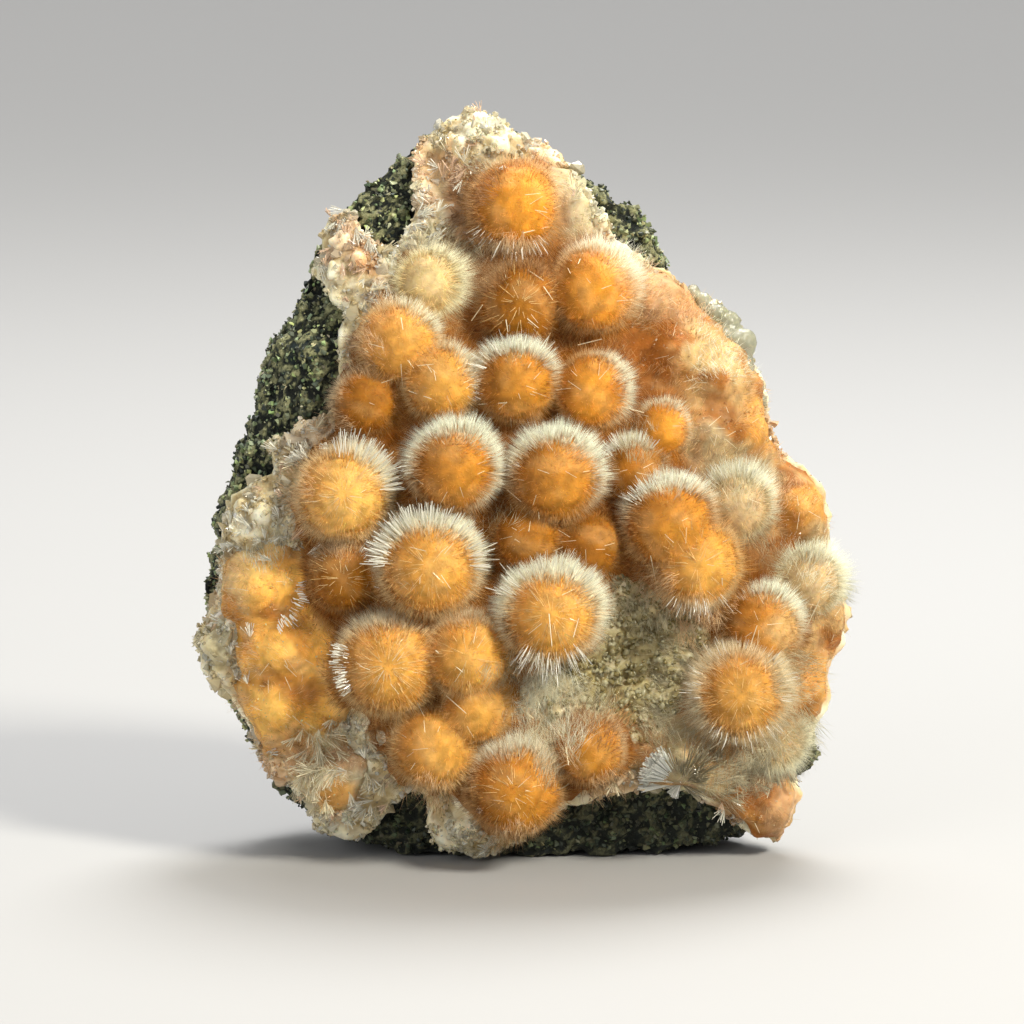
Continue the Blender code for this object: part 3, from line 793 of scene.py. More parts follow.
def core_colours(places):
    """Orange on a ball's painted lit side, amber brown on its painted dark side, brown in the valleys, partly
    the felt's own colour and partly painted shade, and where balls have run together patches of rust and
    cream."""
    outside = outside_cores(places)
    share = np.exp(-2.0 * (outside - outside.min(axis=1)[:, None]))
    share /= share.sum(axis=1)[:, None]
    colours = np.zeros((len(places), 3))
    for ball in range(len(BALLS)):
        facing = unit(places - centres[ball]) @ LIT_SIDE
        light = smooth(facing, -0.30, 0.85)[:, None]
        colours += share[:, ball, None] * (core_dark[ball] * (1 - light) + core_lit[ball] * light)
    fused = (share @ run_together)[:, None]
    rust = smooth(cloud(places, 3.0, 3), 0.35, 0.95)[:, None] * (0.15 + 0.35 * fused)
    colours = colours * (1 - rust) + RUST * rust
    pale = smooth(cloud(places, 2.0, 4), 0.50, 1.00)[:, None] * (0.15 + 0.25 * fused)
    colours = stained(places, colours * (1 - pale) + PALE * pale, FELT_STAINS)
    colours = colours * (0.82 + 0.36 * cloud(places, 0.8, 5))[:, None]
    # The felt's own brown together with painted shade deepens the valleys round balls that stand alone.
    valley_brown_and_shade = smooth(outside.min(axis=1), 0.0, 1.1)[:, None] * 0.75 * (1 - fused)
    return colours * (1 - valley_brown_and_shade) + VALLEY_BROWN_AND_SHADE * valley_brown_and_shade


mark(cores, "fibre_colour", core_colours(from_face(read(cores.data.vertices, "co"))))

silk = Finish("amber silk")
fibre_colour = silk.attribute("fibre_colour")
mottle = silk.band(silk.grain(0.7, 5.0, 0.7, 0.8), 0.38, 0.66)
sheen = silk.blend(1.0, fibre_colour, (1.14, 1.26, 1.6), "MULTIPLY")
silk.surface_is(
    Base_Color=silk.blend(mottle * 0.4, fibre_colour, sheen),
    Roughness=0.55,
    IOR=1.25,
    Subsurface_Weight=0.35,
    Subsurface_Radius=(1.4 * MM, 0.6 * MM, 0.2 * MM),
    Subsurface_Scale=1.0,
)
silk.bump(silk.grain(0.3, 3.0, 0.6), 0.12)
dress(cores, silk, "thomsonite", "thomsonite_balls")


# The halo of fine needles.
# Past the hard core the fibres stand free, finer than a hair. Seen from the side they pile up into
# a white fringe round the ball, and seen end on they let the orange core show.

VIEWED_FROM = np.array((0.0, -1.0, 0.0))
front_depth = Depths(cores)


def spike_shape(corners, top):
    """A closed spike one unit long: a prism of that many corners, drawn in to top at its far end."""
    build = bmesh.new()
    middle = Matrix.Translation((0.0, 0.0, 0.5))
    bmesh.ops.create_cone(
        build, cap_ends=True, segments=corners, radius1=1.0, radius2=top, depth=1.0, matrix=middle
    )
    bmesh.ops.remove_doubles(build, verts=build.verts, dist=1e-5)
    bmesh.ops.triangulate(build, faces=build.faces)
    bmesh.ops.recalc_face_normals(build, faces=build.faces)
    build.verts.index_update()
    return build


def needles(name, shape, roots, tips, thick, colours, flat=1.0):
    """Needles from roots to tips, all given on the face in millimetres, each in its own tip colour."""
    start, end = on_face(roots), on_face(tips)
    clear_of_table = np.minimum(start[:, 2], end[:, 2]) > 0.1 * MM
    start, end, colours = start[clear_of_table], end[clear_of_table], colours[clear_of_table]
    half = np.broadcast_to(np.asarray(thick, float), (len(roots),))[clear_of_table, None] * MM
    ways = unit(end - start)
    side = unit(np.cross(ways, chance.normal(size=ways.shape)))
    frames = np.stack([side * half, np.cross(ways, side) * half * flat, end - start], axis=1)
    repeats = len(shape.verts)
    along = np.tile([v.co.z for v in shape.verts], len(ways))
    piece = many(name, shape, start, frames)
    mark(piece, "along", along)
    mark(piece, "tip_colour", np.repeat(np.clip(colours, 0, 0.97), repeats, axis=0))
    return piece


def clear_of_balls(places, own, clear):
    """Whether each place is outside every core but its own ball's, by at least clear."""
    outside = outside_cores(places)
    outside[np.arange(len(places)), own] = np.inf
    return outside.min(axis=1) > clear


# Needles on each square millimetre of a core if they stood all round it, half a needle's thickness,
# how far round behind the ball they go, and how deep they are rooted in the core.
HALO_DENSITY = 56.0
HALO_THICK = 0.024
HALO_BEHIND = -0.30
ROOTED = 0.15


def swirl(places, size):
    """A random direction for each place, much the same within that many millimetres."""
    return np.stack([cloud(places, size, seed) - 0.5 for seed in (31, 32, 33)], axis=1)


def halo(ball):
    """Roots, tips, thicknesses and colours of one ball's fine needles."""
    count = int(HALO_DENSITY * 4 * math.pi * core_radius[ball] ** 2)
    ways = unit(chance.normal(size=(count, 3)))
    sideways = np.sqrt(1 - (ways @ VIEWED_FROM) ** 2)
    # The fringe whitens the needles on one side of the ball: partly their own white, partly painted light.
    turn = np.degrees(np.arctan2(ways[:, 2], ways[:, 0])) - fringe_way[ball]
    off = np.abs((turn + 180) % 360 - 180)
    fringe = fringe_white[ball] * (1 - smooth(off, fringe_half[ball] - 30, fringe_half[ball] + 35))
    # The fringe is a crescent: it starts nearest the ball's middle on the side where it looks.
    start = 0.42 + 0.33 * smooth(off, 0, max(fringe_half[ball], 1))
    spread = sideways + chance.normal(size=count) * 0.08
    likely = smooth(spread, start - 0.1, start + 0.4) * (0.55 + 0.45 * fringe) + 0.04
    white = fringe * smooth(spread, start, start + 0.4)
    chosen = (ways @ VIEWED_FROM > HALO_BEHIND) & (chance.random(count) < likely)
    ways, sideways, fringe, white = (part[chosen] for part in (ways, sideways, fringe, white[:, None]))
    count = len(ways)
    roots = centres[ball] + ways * (core_radius[ball] - ROOTED)
    # Needles lean with their neighbours, and a little each on its own.
    tufts = swirl(roots, 0.7) * 0.30 + swirl(roots, 2.5) * 0.25
    lean = unit(ways + tufts + chance.normal(size=(count, 3)) * (0.20 - 0.14 * fringe)[:, None])
    # Those of the fringe are longer, and those that point at the viewer are short.
    reach = (1.0 + 0.45 * fringe) * chance.triangular(0.35, 0.9, 1.15, count)
    reach *= (0.45 + 0.55 * smooth(sideways, 0.3, 0.8)) * (0.78 + 0.44 * cloud(roots, 1.8, 34))
    tips = roots + lean * (ROOTED + reach * (tip_radius[ball] - core_radius[ball]))[:, None]
    own = np.full(count, ball)
    keep = (tips[:, 1] < crust_depth.at(tips[:, 0], tips[:, 2]) - 0.1) & clear_of_balls(roots, own, 0.0)
    # Over the core they have its colour made lighter, painted light through the fibres, out at the side that
    # of fur, and in the fringe white.
    beneath = core_colours(roots) * chance.uniform(1.2, 2.1, (count, 1))
    loose = smooth(sideways, 0.60, 1.00)[:, None]
    plain = beneath * (1 - loose) + fur_tint[ball] * loose
    colours = plain * (1 - white) + fringe_tint[ball] * white
    colours = colours * chance.uniform(0.65, 1.14, (count, 1))
    thickness = HALO_THICK * chance.uniform(0.7, 1.3, count)
    return [part[keep] for part in (roots, tips, thickness, colours)]


def gathered(parts):
    return [np.concatenate(column) for column in zip(*parts)]


fibre = Finish("free fibres")
along = fibre.attribute("along", "Fac")
near_root = 1 - fibre.band(along, 0.0, 0.4)
fibre.surface_is(
    Base_Color=fibre.blend(near_root, fibre.attribute("tip_colour"), (0.96, 0.84, 0.64), "MULTIPLY"),
    Roughness=0.4,
    IOR=1.3,
)

# From the top ball down, as many balls go into one piece as its triangles allow.
TRIANGLES_A_PIECE = 190_000
TRIANGLES_A_NEEDLE = 4

group, groups = [], []
for part in [halo(ball) for ball in np.argsort(-spots[:, 1]) if not run_together[ball]]:
    if TRIANGLES_A_NEEDLE * sum(len(p[0]) for p in group + [part]) > TRIANGLES_A_PIECE:
        groups.append(group)
        group = []
    group.append(part)
groups.append(group)
for number, group in enumerate(groups):
    piece = needles(f"halo_{number + 1}", spike_shape(3, 0.0), *gathered(group))
    dress(piece, fibre, "thomsonite")
    piece.visible_shadow = False


# The fur of the valleys and flanks.
# Between the balls, and all over the flanks where they have run together, short fibres lie in swirls.
# They are rust brown deep down, with peach and cream ones among them. A few lie on the cores too.

FUR_TRIED = 120_000
FACE_LEFT, FACE_RIGHT, FACE_TOP = -34, 35, 75
FUR_THICK = 0.028

across, up = chance.uniform(FACE_LEFT, FACE_RIGHT, FUR_TRIED), chance.uniform(0, FACE_TOP, FUR_TRIED)
roots = np.column_stack([across, front_depth.at(across, up) + 0.1, up])
outside = outside_cores(roots)
ball = outside.argmin(axis=1)
fused = run_together[ball]
lone = ~fused & (outside.min(axis=1) < 0.1)
covered = (felted(across, up) > FELT_EDGE) & front_depth.under(across, up)
# A lone ball keeps only a third of the fur that its front could have.
keep = covered & (chance.random(FUR_TRIED) < np.where(lone, 0.35, 1.0))
roots, ball, fused, lone = roots[keep], ball[keep], fused[keep][:, None], lone[keep][:, None]
away = unit(roots - centres[ball])
outward = away - (away @ VIEWED_FROM)[:, None] * VIEWED_FROM
# Fur on the flanks lies in swirls, in the valleys it stands away from the nearest ball, and on a lone
# ball it lies outward over the front.
lying = np.where(fused, swirl(roots, 2.4) * 2.4 + VIEWED_FROM * 0.35, away + VIEWED_FROM * 0.3)
lying = np.where(lone, outward + away * 0.35 + swirl(roots, 1.5), lying)
ways = unit(lying + chance.normal(size=roots.shape) * 0.35)
reach = np.where(fused, chance.uniform(0.5, 1.5, fused.shape), chance.uniform(0.8, 2.2, fused.shape))
reach = np.where(lone, chance.uniform(0.5, 1.3, lone.shape), reach)
palest = np.where(lone, 0.35, np.where(fused, 0.9, 0.7))
share = chance.uniform(0.0, 1.0, (len(roots), 1)) ** 1.8 * palest
colours = core_colours(roots) * (1 - share) + fur_tint[ball] * 1.1 * share
colours = colours * chance.uniform(0.65, 1.45, (len(roots), 1))
fur = needles("valley_fur", spike_shape(3, 0.0), roots, roots + ways * reach, FUR_THICK, colours)
dress(fur, fibre, "thomsonite")
fur.visible_shadow = False


# The long fur.
# Tufts of long fine fibres grow beside the balls and over the crust next to them, each tuft combed
# one way. They are brown under the crown, grey round the hollow and peach elsewhere.

BARK, RUSSET, BISQUE = (0.36, 0.19, 0.080), (0.56, 0.30, 0.110), (0.72, 0.50, 0.28)
DUN, PEARL = (0.60, 0.54, 0.36), (0.80, 0.80, 0.64)

# The tufts: across, up, radius, which way they lie in degrees, how long, and the colour.
TUFTS = [
    (-3.4, 67.4, 2.6, 150, 2.6, BARK), (-4.4, 63.4, 2.2, 200, 2.8, BARK), (0.4, 60.8, 2.6, -95, 2.8, BISQUE),
    (-3.0, 60.4, 2.0, -130, 2.8, BISQUE), (-2.6, 58.8, 2.4, 130, 2.4, BARK), (2.0, 60.0, 2.2, 80, 2.2, BARK),
    (-4.2, 58.4, 1.8, 10, 2.8, BARK), (-5.6, 61.0, 1.8, 40, 2.6, DUN), (11.8, 60.4, 2.2, 40, 2.0, PEARL),
    (2.8, 19.4, 2.8, -90, 3.2, DUN), (-0.8, 20.4, 1.8, -125, 2.6, DUN), (18.2, 25.0, 2.6, -85, 3.2, BISQUE),
    (14.6, 28.4, 2.0, -140, 2.4, BISQUE), (9.8, 27.6, 2.0, -60, 2.2, DUN), (27.8, 19.0, 2.8, -15, 2.6, DUN),
    (27.6, 14.0, 2.8, -50, 3.4, DUN), (24.6, 11.2, 2.6, -80, 3.2, DUN), (21.2, 10.8, 2.4, -105, 3.0, RUSSET),
    (17.2, 15.2, 2.4, 200, 3.0, DUN), (17.8, 20.6, 2.0, 150, 2.6, DUN), (20.6, 26.0, 2.0, 140, 2.4, BISQUE),
    (29.0, 30.4, 2.8, 70, 2.0, PEARL), (32.0, 27.6, 1.8, 20, 1.6, PEARL), (26.4, 30.6, 2.0, 120, 2.2, DUN),
    (22.4, 38.2, 3.2, 85, 1.9, DUN), (25.6, 36.4, 2.2, 60, 1.8, BISQUE), (12.4, 42.0, 2.2, 95, 1.6, DUN),
    (3.0, 13.8, 2.8, 70, 2.8, DUN), (0.6, 13.4, 2.2, 100, 2.4, PEARL), (7.2, 15.0, 2.0, 60, 2.4, DUN),
    (-1.6, 33.4, 2.0, 40, 2.6, DUN), (-12.0, 26.4, 2.8, 90, 1.8, BISQUE), (-16.6, 32.2, 2.2, 90, 2.0, BISQUE),
    (12.4, 55.6, 2.4, 30, 2.2, BISQUE), (13.0, 60.0, 1.8, 20, 2.0, BISQUE),
    (-10.4, 46.6, 2.0, -30, 1.8, RUSSET), (-14.4, 50.4, 2.2, 120, 2.0, BISQUE),
    (-17.2, 43.2, 2.2, 170, 2.0, BISQUE), (-21.0, 37.8, 2.0, 175, 1.8, BISQUE),
    (-8.4, 7.6, 2.4, -100, 2.4, BISQUE), (0.4, 2.8, 2.6, -90, 2.0, BISQUE), (9.6, 8.0, 2.2, -60, 2.0, BISQUE),
    (9.8, 14.6, 1.8, 50, 1.8, RUSSET), (20.4, 7.2, 2.6, -20, 2.6, DUN), (23.4, 8.2, 2.2, 60, 2.6, DUN),
    (-28.0, 29.6, 1.8, 150, 1.4, BISQUE), (-27.6, 25.8, 1.6, 175, 1.4, BISQUE),
    (-26.4, 20.6, 1.8, 175, 1.4, BISQUE), (-26.8, 15.6, 1.8, 190, 1.4, BISQUE),
    (-25.2, 11.8, 1.8, 210, 1.4, BISQUE), (-24.6, 31.6, 2.6, 100, 1.6, PEARL),
    (5.4, 17.6, 2.4, -60, 2.8, DUN), (8.4, 15.8, 2.0, 90, 2.4, DUN), (15.2, 16.6, 2.4, 150, 2.8, DUN),
    (16.6, 20.6, 2.2, 170, 2.8, DUN), (13.6, 26.0, 2.2, -110, 2.8, DUN), (7.6, 27.8, 2.0, -60, 2.0, DUN),
    (-13.0, 12.6, 1.8, 90, 1.8, BISQUE), (4.4, 11.4, 2.6, 85, 2.8, DUN), (3.6, 14.8, 2.4, 70, 2.6, BISQUE),
    (4.0, 16.8, 2.4, 20, 2.8, DUN), (5.0, 9.6, 2.2, 110, 2.4, BISQUE), (20.2, 53.6, 2.2, 50, 1.3, PEARL),
    (22.4, 50.0, 2.0, 30, 1.3, PEARL), (24.4, 46.4, 1.8, 20, 1.2, BISQUE), (18.0, 55.2, 2.0, 60, 1.3, BISQUE),
    (26.4, 41.6, 1.6, 30, 1.2, BISQUE), (19.4, 49.6, 2.4, 120, 1.6, PEARL), (4.6, 19.2, 1.8, -80, 3.4, PEARL),
    (3.0, 18.4, 1.8, -110, 3.2, PEARL), (5.2, 12.8, 2.0, 80, 3.2, PEARL), (3.2, 12.4, 1.8, 95, 3.2, DUN),
    (4.2, 9.4, 2.2, 85, 3.0, DUN), (1.2, 16.4, 1.6, -70, 2.6, PEARL), (7.0, 14.6, 1.8, 110, 2.8, BARK),
    (9.2, 13.0, 1.8, 70, 2.2, BARK), (13.4, 12.0, 2.2, 110, 2.8, BARK), (14.8, 13.6, 2.0, 120, 2.8, DUN),
    (19.0, 12.2, 2.2, 60, 2.8, DUN), (21.4, 9.8, 2.4, 30, 2.8, DUN),
]
# Fibres on each square millimetre, half their thickness, and how far they stray in degrees.
TUFT_DENSITY = 17.0
TUFT_THIN, TUFT_THICK = 0.016, 0.034
TUFT_SPREAD = 22


def ground(across, up):
    """The depth of whatever lies foremost at each place, balls or crust."""
    return np.minimum(front_depth.at(across, up), crust_depth.at(across, up))


def tuft(across, up, radius, way, length, colour):
    """One tuft. Its fibres start within the radius, lie one way, and rise a little off the ground."""
    count = int(TUFT_DENSITY * math.pi * radius**2)
    turn, out = chance.uniform(0, 2 * math.pi, count), radius * np.sqrt(chance.random(count))
    x, z = across + out * np.cos(turn), up + out * np.sin(turn)
    lying = np.radians(way + chance.normal(size=count) * TUFT_SPREAD)
    ways = np.column_stack([np.cos(lying), chance.uniform(-0.75, 0.05, count), np.sin(lying)])
    roots = np.column_stack([x, ground(x, z) + 0.1, z])
    tips = roots + unit(ways + swirl(roots, 1.5) * 0.6) * (length * chance.uniform(0.4, 1.1, count))[:, None]
    colours = np.array(colour) * chance.uniform(0.7, 1.25, (count, 1))
    keep = front_depth.under(x, z) | crust_depth.under(x, z)
    return [part[keep] for part in (roots, tips, chance.uniform(TUFT_THIN, TUFT_THICK, count), colours)]


tufts = needles("long_fur", spike_shape(3, 0.0), *gathered(tuft(*row) for row in TUFTS))
dress(tufts, fibre, "thomsonite")
tufts.visible_shadow = False


# The grains of the crust.
# The bare crust glitters with grains of clear to milky crystal, the size of coarse sand.
# The hollow has rounder ones. Finer ones lie on the flanks, where the balls have run together; their pale
# colour is partly painted glints.

# Past this far to the right the crust is smooth.
SMOOTH_EDGE = 27.0
GLINT = np.array((0.95, 0.95, 0.86))
HOLLOW_DARK, HOLLOW_PALE = np.array((0.33, 0.27, 0.10)), np.array((0.70, 0.66, 0.42))
FLANK_GLINT_PALE = np.array((0.92, 0.82, 0.56))


def bare_crust(places, normals):
    """Where the crust lies bare and faces forward, clear of the table."""
    spot = from_face(places)
    bare = front_depth.at(spot[:, 0], spot[:, 2]) > crust_depth.at(spot[:, 0], spot[:, 2]) - 0.3
    return bare * (places[:, 2] > ABOVE_TABLE) * (normals @ np.array(FORWARD) > 0.0)


def from_hollow(places):
    """How far each place lies from the hollow's middle."""
    spot = from_face(places)
    return np.hypot(spot[:, 0] - HOLLOW[0], spot[:, 2] - HOLLOW[1])


def in_hollow(places, normals):
    return bare_crust(places, normals) * (from_hollow(places) < HOLLOW_RADIUS)


def on_rim(places, normals):
    """Outside the hollow, more in some patches than in others, and none on the smooth right edge."""
    spot = from_face(places)
    thinned = 0.15 + 0.85 * smooth(cloud(spot, 2.6, 8), 0.35, 0.65)
    rim = (from_hollow(places) > HOLLOW_RADIUS) & (spot[:, 0] < SMOOTH_EDGE)
    return bare_crust(places, normals) * thinned * rim


def on_flanks(places, normals):
    """On the felt of the balls that have run together."""
    nearest = outside_cores(from_face(places)).argmin(axis=1)
    return run_together[nearest] * (places[:, 2] > ABOVE_TABLE) * (normals @ np.array(FORWARD) > 0.2)


def rim_tones(places):
    clear = chance.random((len(places), 1)) ** 5
    tones = crust_tones(from_face(places)) * (1 - clear) + GLINT * clear
    return tones * chance.uniform(0.75, 1.10, (len(places), 1))


def hollow_tones(places):
    share = chance.random((len(places), 1)) ** 1.5
    return HOLLOW_DARK * (1 - share) + HOLLOW_PALE * share


# Lighter than the felt beneath: partly pale grains, partly painted glints.
def flank_glint_tones(places):
    share = chance.random((len(places), 1))
    return core_colours(from_face(places)) * (1.3 - share * 0.8) + FLANK_GLINT_PALE * share * 0.8


clear = Finish("clear grains")
clear.surface_is(
    Base_Color=clear.attribute("chip_colour"), Roughness=0.15, Transmission_Weight=0.4, IOR=1.52
)

# Each kind of grain: corners, the skin it sits on, how many, where, smallest, largest, its tones, its
# material slot, and whether its faces are flat.
GRAINS = {
    "crust_grains": (9, crust, 3600, on_rim, 0.14, 0.42, rim_tones, "pale_crust", True),
    "hollow_grains": (14, crust, 900, in_hollow, 0.18, 0.42, hollow_tones, "pale_crust", False),
    "flank_glinting_grains": (7, cores, 1600, on_flanks, 0.05, 0.18, flank_glint_tones, "thomsonite", True),
    "large_crystals": (10, crust, 150, on_rim, 0.45, 1.1, rim_tones, "pale_crust", True),
}
for name, (*how, slot, flat) in GRAINS.items():
    dress(chips(name, *how), clear, slot, flat=flat)


# The coarse needles.
# Some balls carry combs of thicker glassy white needles with blunt ends. They are rooted round the
# ball's outline and stand a little further out than its halo.

# The combs: the ball, from and to what direction in degrees, how many, how long and how thick.
COMBS = [
    ("star_west", 100, 5, 120, 2.1, 0.070), ("star_middle", 180, 55, 150, 2.1, 0.070),
    ("star_middle", 50, -5, 60, 1.9, 0.070), ("middle_high", 160, 30, 110, 1.4, 0.045),
    ("heart", 160, 20, 150, 1.8, 0.045), ("heart", -130, -50, 80, 2.2, 0.030),
    ("great_west", 155, 215, 90, 1.0, 0.070), ("east_fringe", 150, 45, 90, 1.2, 0.045),
    ("great_east", 150, 45, 130, 1.4, 0.050), ("edge_high", 15, -70, 60, 1.0, 0.060),
    ("grey_east", 140, 30, 110, 1.1, 0.050), ("rim_grey", 100, 10, 60, 1.0, 0.050),
    ("low_star", 190, -10, 80, 1.4, 0.035), ("centre_west", 190, -20, 70, 1.2, 0.035),
    ("centre_east", 180, -20, 70, 1.2, 0.035), ("low_star", -140, -40, 40, 1.4, 0.035),
    ("west_mid", 60, -30, 40, 0.9, 0.040), ("low_middle", 130, 40, 40, 0.9, 0.040),
    ("crown", -150, -40, 40, 1.6, 0.030), ("lower_east", 130, 20, 60, 1.0, 0.035),
    ("west_small", 60, -20, 30, 0.8, 0.055), ("great_east_low", -130, -50, 40, 1.6, 0.028),
]
GLASS_WHITE = np.array((0.93, 0.92, 0.80))


def comb(name, start, end, count, length, thick):
    """One comb: needles rooted in a band round the ball's outline, a little longer than its halo."""
    ball = list(BALLS).index(name)
    turn = np.radians(chance.uniform(min(start, end), max(start, end), count))
    sideways = chance.uniform(0.80, 1.0, count)
    ways = np.column_stack([np.cos(turn) * sideways, -np.sqrt(1 - sideways**2), np.sin(turn) * sideways])
    gap = (tip_radius[ball] - core_radius[ball]) * chance.uniform(0.0, 0.5, count)
    roots = centres[ball] + ways * (core_radius[ball] + gap)[:, None]
    lean = unit(ways + chance.normal(size=(count, 3)) * 0.09)
    tips = roots + lean * (length * chance.uniform(0.5, 1.05, count))[:, None]
    colours = GLASS_WHITE * chance.uniform(0.75, 1.04, (count, 1))
    return roots, tips, thick * chance.uniform(0.7, 1.3, count), colours


glassy = Finish("glassy needles")
glassy.surface_is(
    Base_Color=glassy.attribute("tip_colour"), Roughness=0.22, Coat_Weight=0.3, Coat_Roughness=0.1
)
combs = needles("coarse_needles", spike_shape(4, 0.55), *gathered(comb(*row) for row in COMBS), flat=0.6)
dress(combs, glassy, "thomsonite", flat=True)


# The loose needles.
# Single bright needles that broke off lie across the fur. The largest lie where the photo shows them,
# and finer ones are scattered over the balls.

# The largest, as they lie: both ends, across and up.
SINGLES = [
    (1.1, 62.8, 3.6, 63.5), (1.5, 59.2, 3.1, 58.1), (1.5, 54.3, 2.6, 53.4), (3.1, 57.5, 4.0, 56.2),
    (6.5, 59.7, 7.0, 60.9), (6.5, 51.8, 8.9, 52.4), (3.3, 51.8, 3.8, 53.0), (-0.6, 54.2, -0.4, 53.0),
    (-4.0, 54.2, -2.9, 55.7), (-10.9, 54.4, -10.7, 53.2), (-10.9, 49.8, -10.8, 47.6),
    (-10.1, 47.2, -7.9, 46.4), (-3.4, 45.9, -0.5, 46.0), (10.8, 45.7, 13.0, 45.1),
    (-8.5, 69.9, -5.5, 71.3), (-7.5, 21.7, -4.8, 19.6), (-10.0, 39.0, -8.7, 38.0),
    (-0.5, 37.5, 0.9, 36.3), (-6.5, 17.2, -4.5, 15.5), (20.6, 28.8, 20.9, 25.9), (29.5, 24.1, 30.6, 26.6),
    (23.6, 22.2, 24.2, 24.1), (19.7, 11.7, 21.3, 12.9), (16.1, 17.9, 17.7, 19.2),
    (6.0, 23.1, 6.5, 24.9), (3.6, 25.4, 3.9, 22.2), (5.3, 12.1, 5.6, 10.3), (13.6, 31.0, 14.2, 28.4),
]
SCATTERED = 300
SINGLE_THICK = 0.055
STRAW = np.array((0.95, 0.86, 0.60))


def compass(turn):
    """Directions on the face, from angles in radians."""
    return np.column_stack([np.cos(turn), np.sin(turn)])


ball = chance.choice(len(BALLS), SCATTERED)
turn, spread = chance.uniform(0, 2 * math.pi, SCATTERED), chance.uniform(0.1, 0.95, SCATTERED)
starts = spots[ball] + (core_radius[ball] * spread)[:, None] * compass(turn)
turn = turn + chance.normal(size=SCATTERED) * 0.5
ends = starts + chance.uniform(0.5, 1.7, SCATTERED)[:, None] * compass(turn)
singles = np.vstack([SINGLES, np.column_stack([starts, ends])])
thick = np.concatenate([np.full(len(SINGLES), SINGLE_THICK), chance.uniform(0.018, 0.034, SCATTERED)])
on_fur = front_depth.under(*singles[:, :2].T) & front_depth.under(*singles[:, 2:].T)
singles, thick = singles[on_fur], thick[on_fur]
lift = chance.uniform(0.35, 0.8, (len(singles), 2))
roots = np.column_stack([singles[:, 0], front_depth.at(*singles[:, :2].T) - lift[:, 0], singles[:, 1]])
tips = np.column_stack([singles[:, 2], front_depth.at(*singles[:, 2:].T) - lift[:, 1], singles[:, 3]])
colours = STRAW * chance.uniform(0.8, 1.05, (len(singles), 1))
loose = needles("loose_needles", spike_shape(4, 0.7), roots, tips, thick, colours)
dress(loose, glassy, "thomsonite", flat=True)


# The bright streaks.
# On the front of some balls single fibres catch the light. They run out over the core from its middle.

GOLDEN_STREAK = np.array((0.86, 0.60, 0.25))

# The balls that have them, and how many.
RAYS = [
    ("great_west", 190), ("great_side", 60), ("star_west", 90), ("star_middle", 70), ("heart", 90),
    ("low_star", 70), ("west_small", 50), ("low_middle", 50), ("shoulder_low", 60), ("great_east_low", 60),
]


def rays(name, count):
    """Thin needles that lie on a ball's front and point away from its middle."""
    ball = list(BALLS).index(name)
    turn, spread = chance.uniform(0, 2 * math.pi, count), chance.uniform(0.1, 0.85, count)
    outward = compass(turn)
    start = spots[ball] + outward * (core_radius[ball] * spread)[:, None]
    end = start + (outward + chance.normal(size=(count, 2)) * 0.15) * chance.uniform(0.6, 1.8, (count, 1))
    low, high = (front_depth.at(*place.T) for place in (start, end))
    high = np.minimum(high, low + 1.5) - chance.uniform(0.1, 0.5, count)
    roots = np.column_stack([start[:, 0], low - 0.05, start[:, 1]])
    tips = np.column_stack([end[:, 0], high, end[:, 1]])
    colours = GOLDEN_STREAK * chance.uniform(0.7, 1.15, (count, 1))
    return roots, tips, chance.uniform(0.02, 0.04, count), colours


streaks = needles("bright_streaks", spike_shape(4, 0.4), *gathered(rays(*row) for row in RAYS))
dress(streaks, glassy, "thomsonite", flat=True)


# The sprays of blades.
# On the bare crust flat clear blades grow in small fans. At the lower right a ball is broken open
# across its middle, and its blades show from the middle out, white on one side and smoky on the other.

CLEAN, CREAM, SNOW = (0.92, 0.89, 0.74), (0.84, 0.75, 0.50), (0.94, 0.95, 0.85)
SMOKE, ROSE = (0.44, 0.38, 0.24), (0.84, 0.60, 0.40)

# The sprays: across, up, from and to what direction, how many blades, how long, how wide, how even
# in length (1 is all the same), and the colour. These four are the broken ball.
SPRAYS = [
    (16.9, 8.2, 122, 184, 300, 4.5, 0.10, 0.72, SNOW), (16.9, 8.2, 184, 250, 90, 1.7, 0.09, 0.5, SNOW),
    (16.9, 8.2, 25, 112, 120, 4.2, 0.08, 0.4, SMOKE), (16.9, 8.2, -40, 25, 90, 3.0, 0.08, 0.4, SMOKE),
]

# Patches of smaller sprays: across, up, radius, which way they point, how many, how long, the colour.
PATCHES = [
    (-19.8, 13.0, 2.0, 262, 9, 3.0, CREAM), (-19.6, 9.6, 2.6, 255, 14, 2.8, CREAM),
    (-15.2, 6.6, 2.2, 230, 9, 2.2, CLEAN), (-20.0, 6.4, 2.2, 250, 8, 2.0, CREAM),
    (-13.6, 8.6, 2.0, 200, 6, 1.8, CREAM), (-16.4, 61.8, 2.4, 260, 9, 2.2, ROSE),
    (-13.6, 63.0, 2.0, 290, 7, 2.4, CLEAN), (-12.8, 58.6, 1.8, 300, 6, 2.0, CLEAN),
    (-7.6, 69.0, 2.4, 80, 8, 2.0, ROSE), (-9.0, 64.4, 2.2, 20, 8, 2.0, CLEAN),
    (-8.6, 61.4, 1.8, 60, 6, 1.8, CREAM), (-1.6, 2.0, 1.2, 120, 6, 1.8, CLEAN),
    (21.6, 8.6, 3.0, 40, 16, 2.6, SMOKE), (24.6, 9.8, 2.4, -40, 8, 2.4, SMOKE),
    (-25.8, 34.4, 2.8, 120, 12, 1.8, CLEAN), (-20.6, 41.0, 2.4, 120, 9, 1.8, CLEAN),
    (-27.8, 20.4, 2.4, 150, 8, 1.6, CLEAN), (7.0, 68.0, 2.4, 60, 7, 1.6, CREAM),
]

# A small spray: how many blades, how wide, and how even in length.
SMALL_BLADES, SMALL_WIDTH, SMALL_EVEN = 18, 0.055, 0.4
RANDOM_SPRAYS = 130
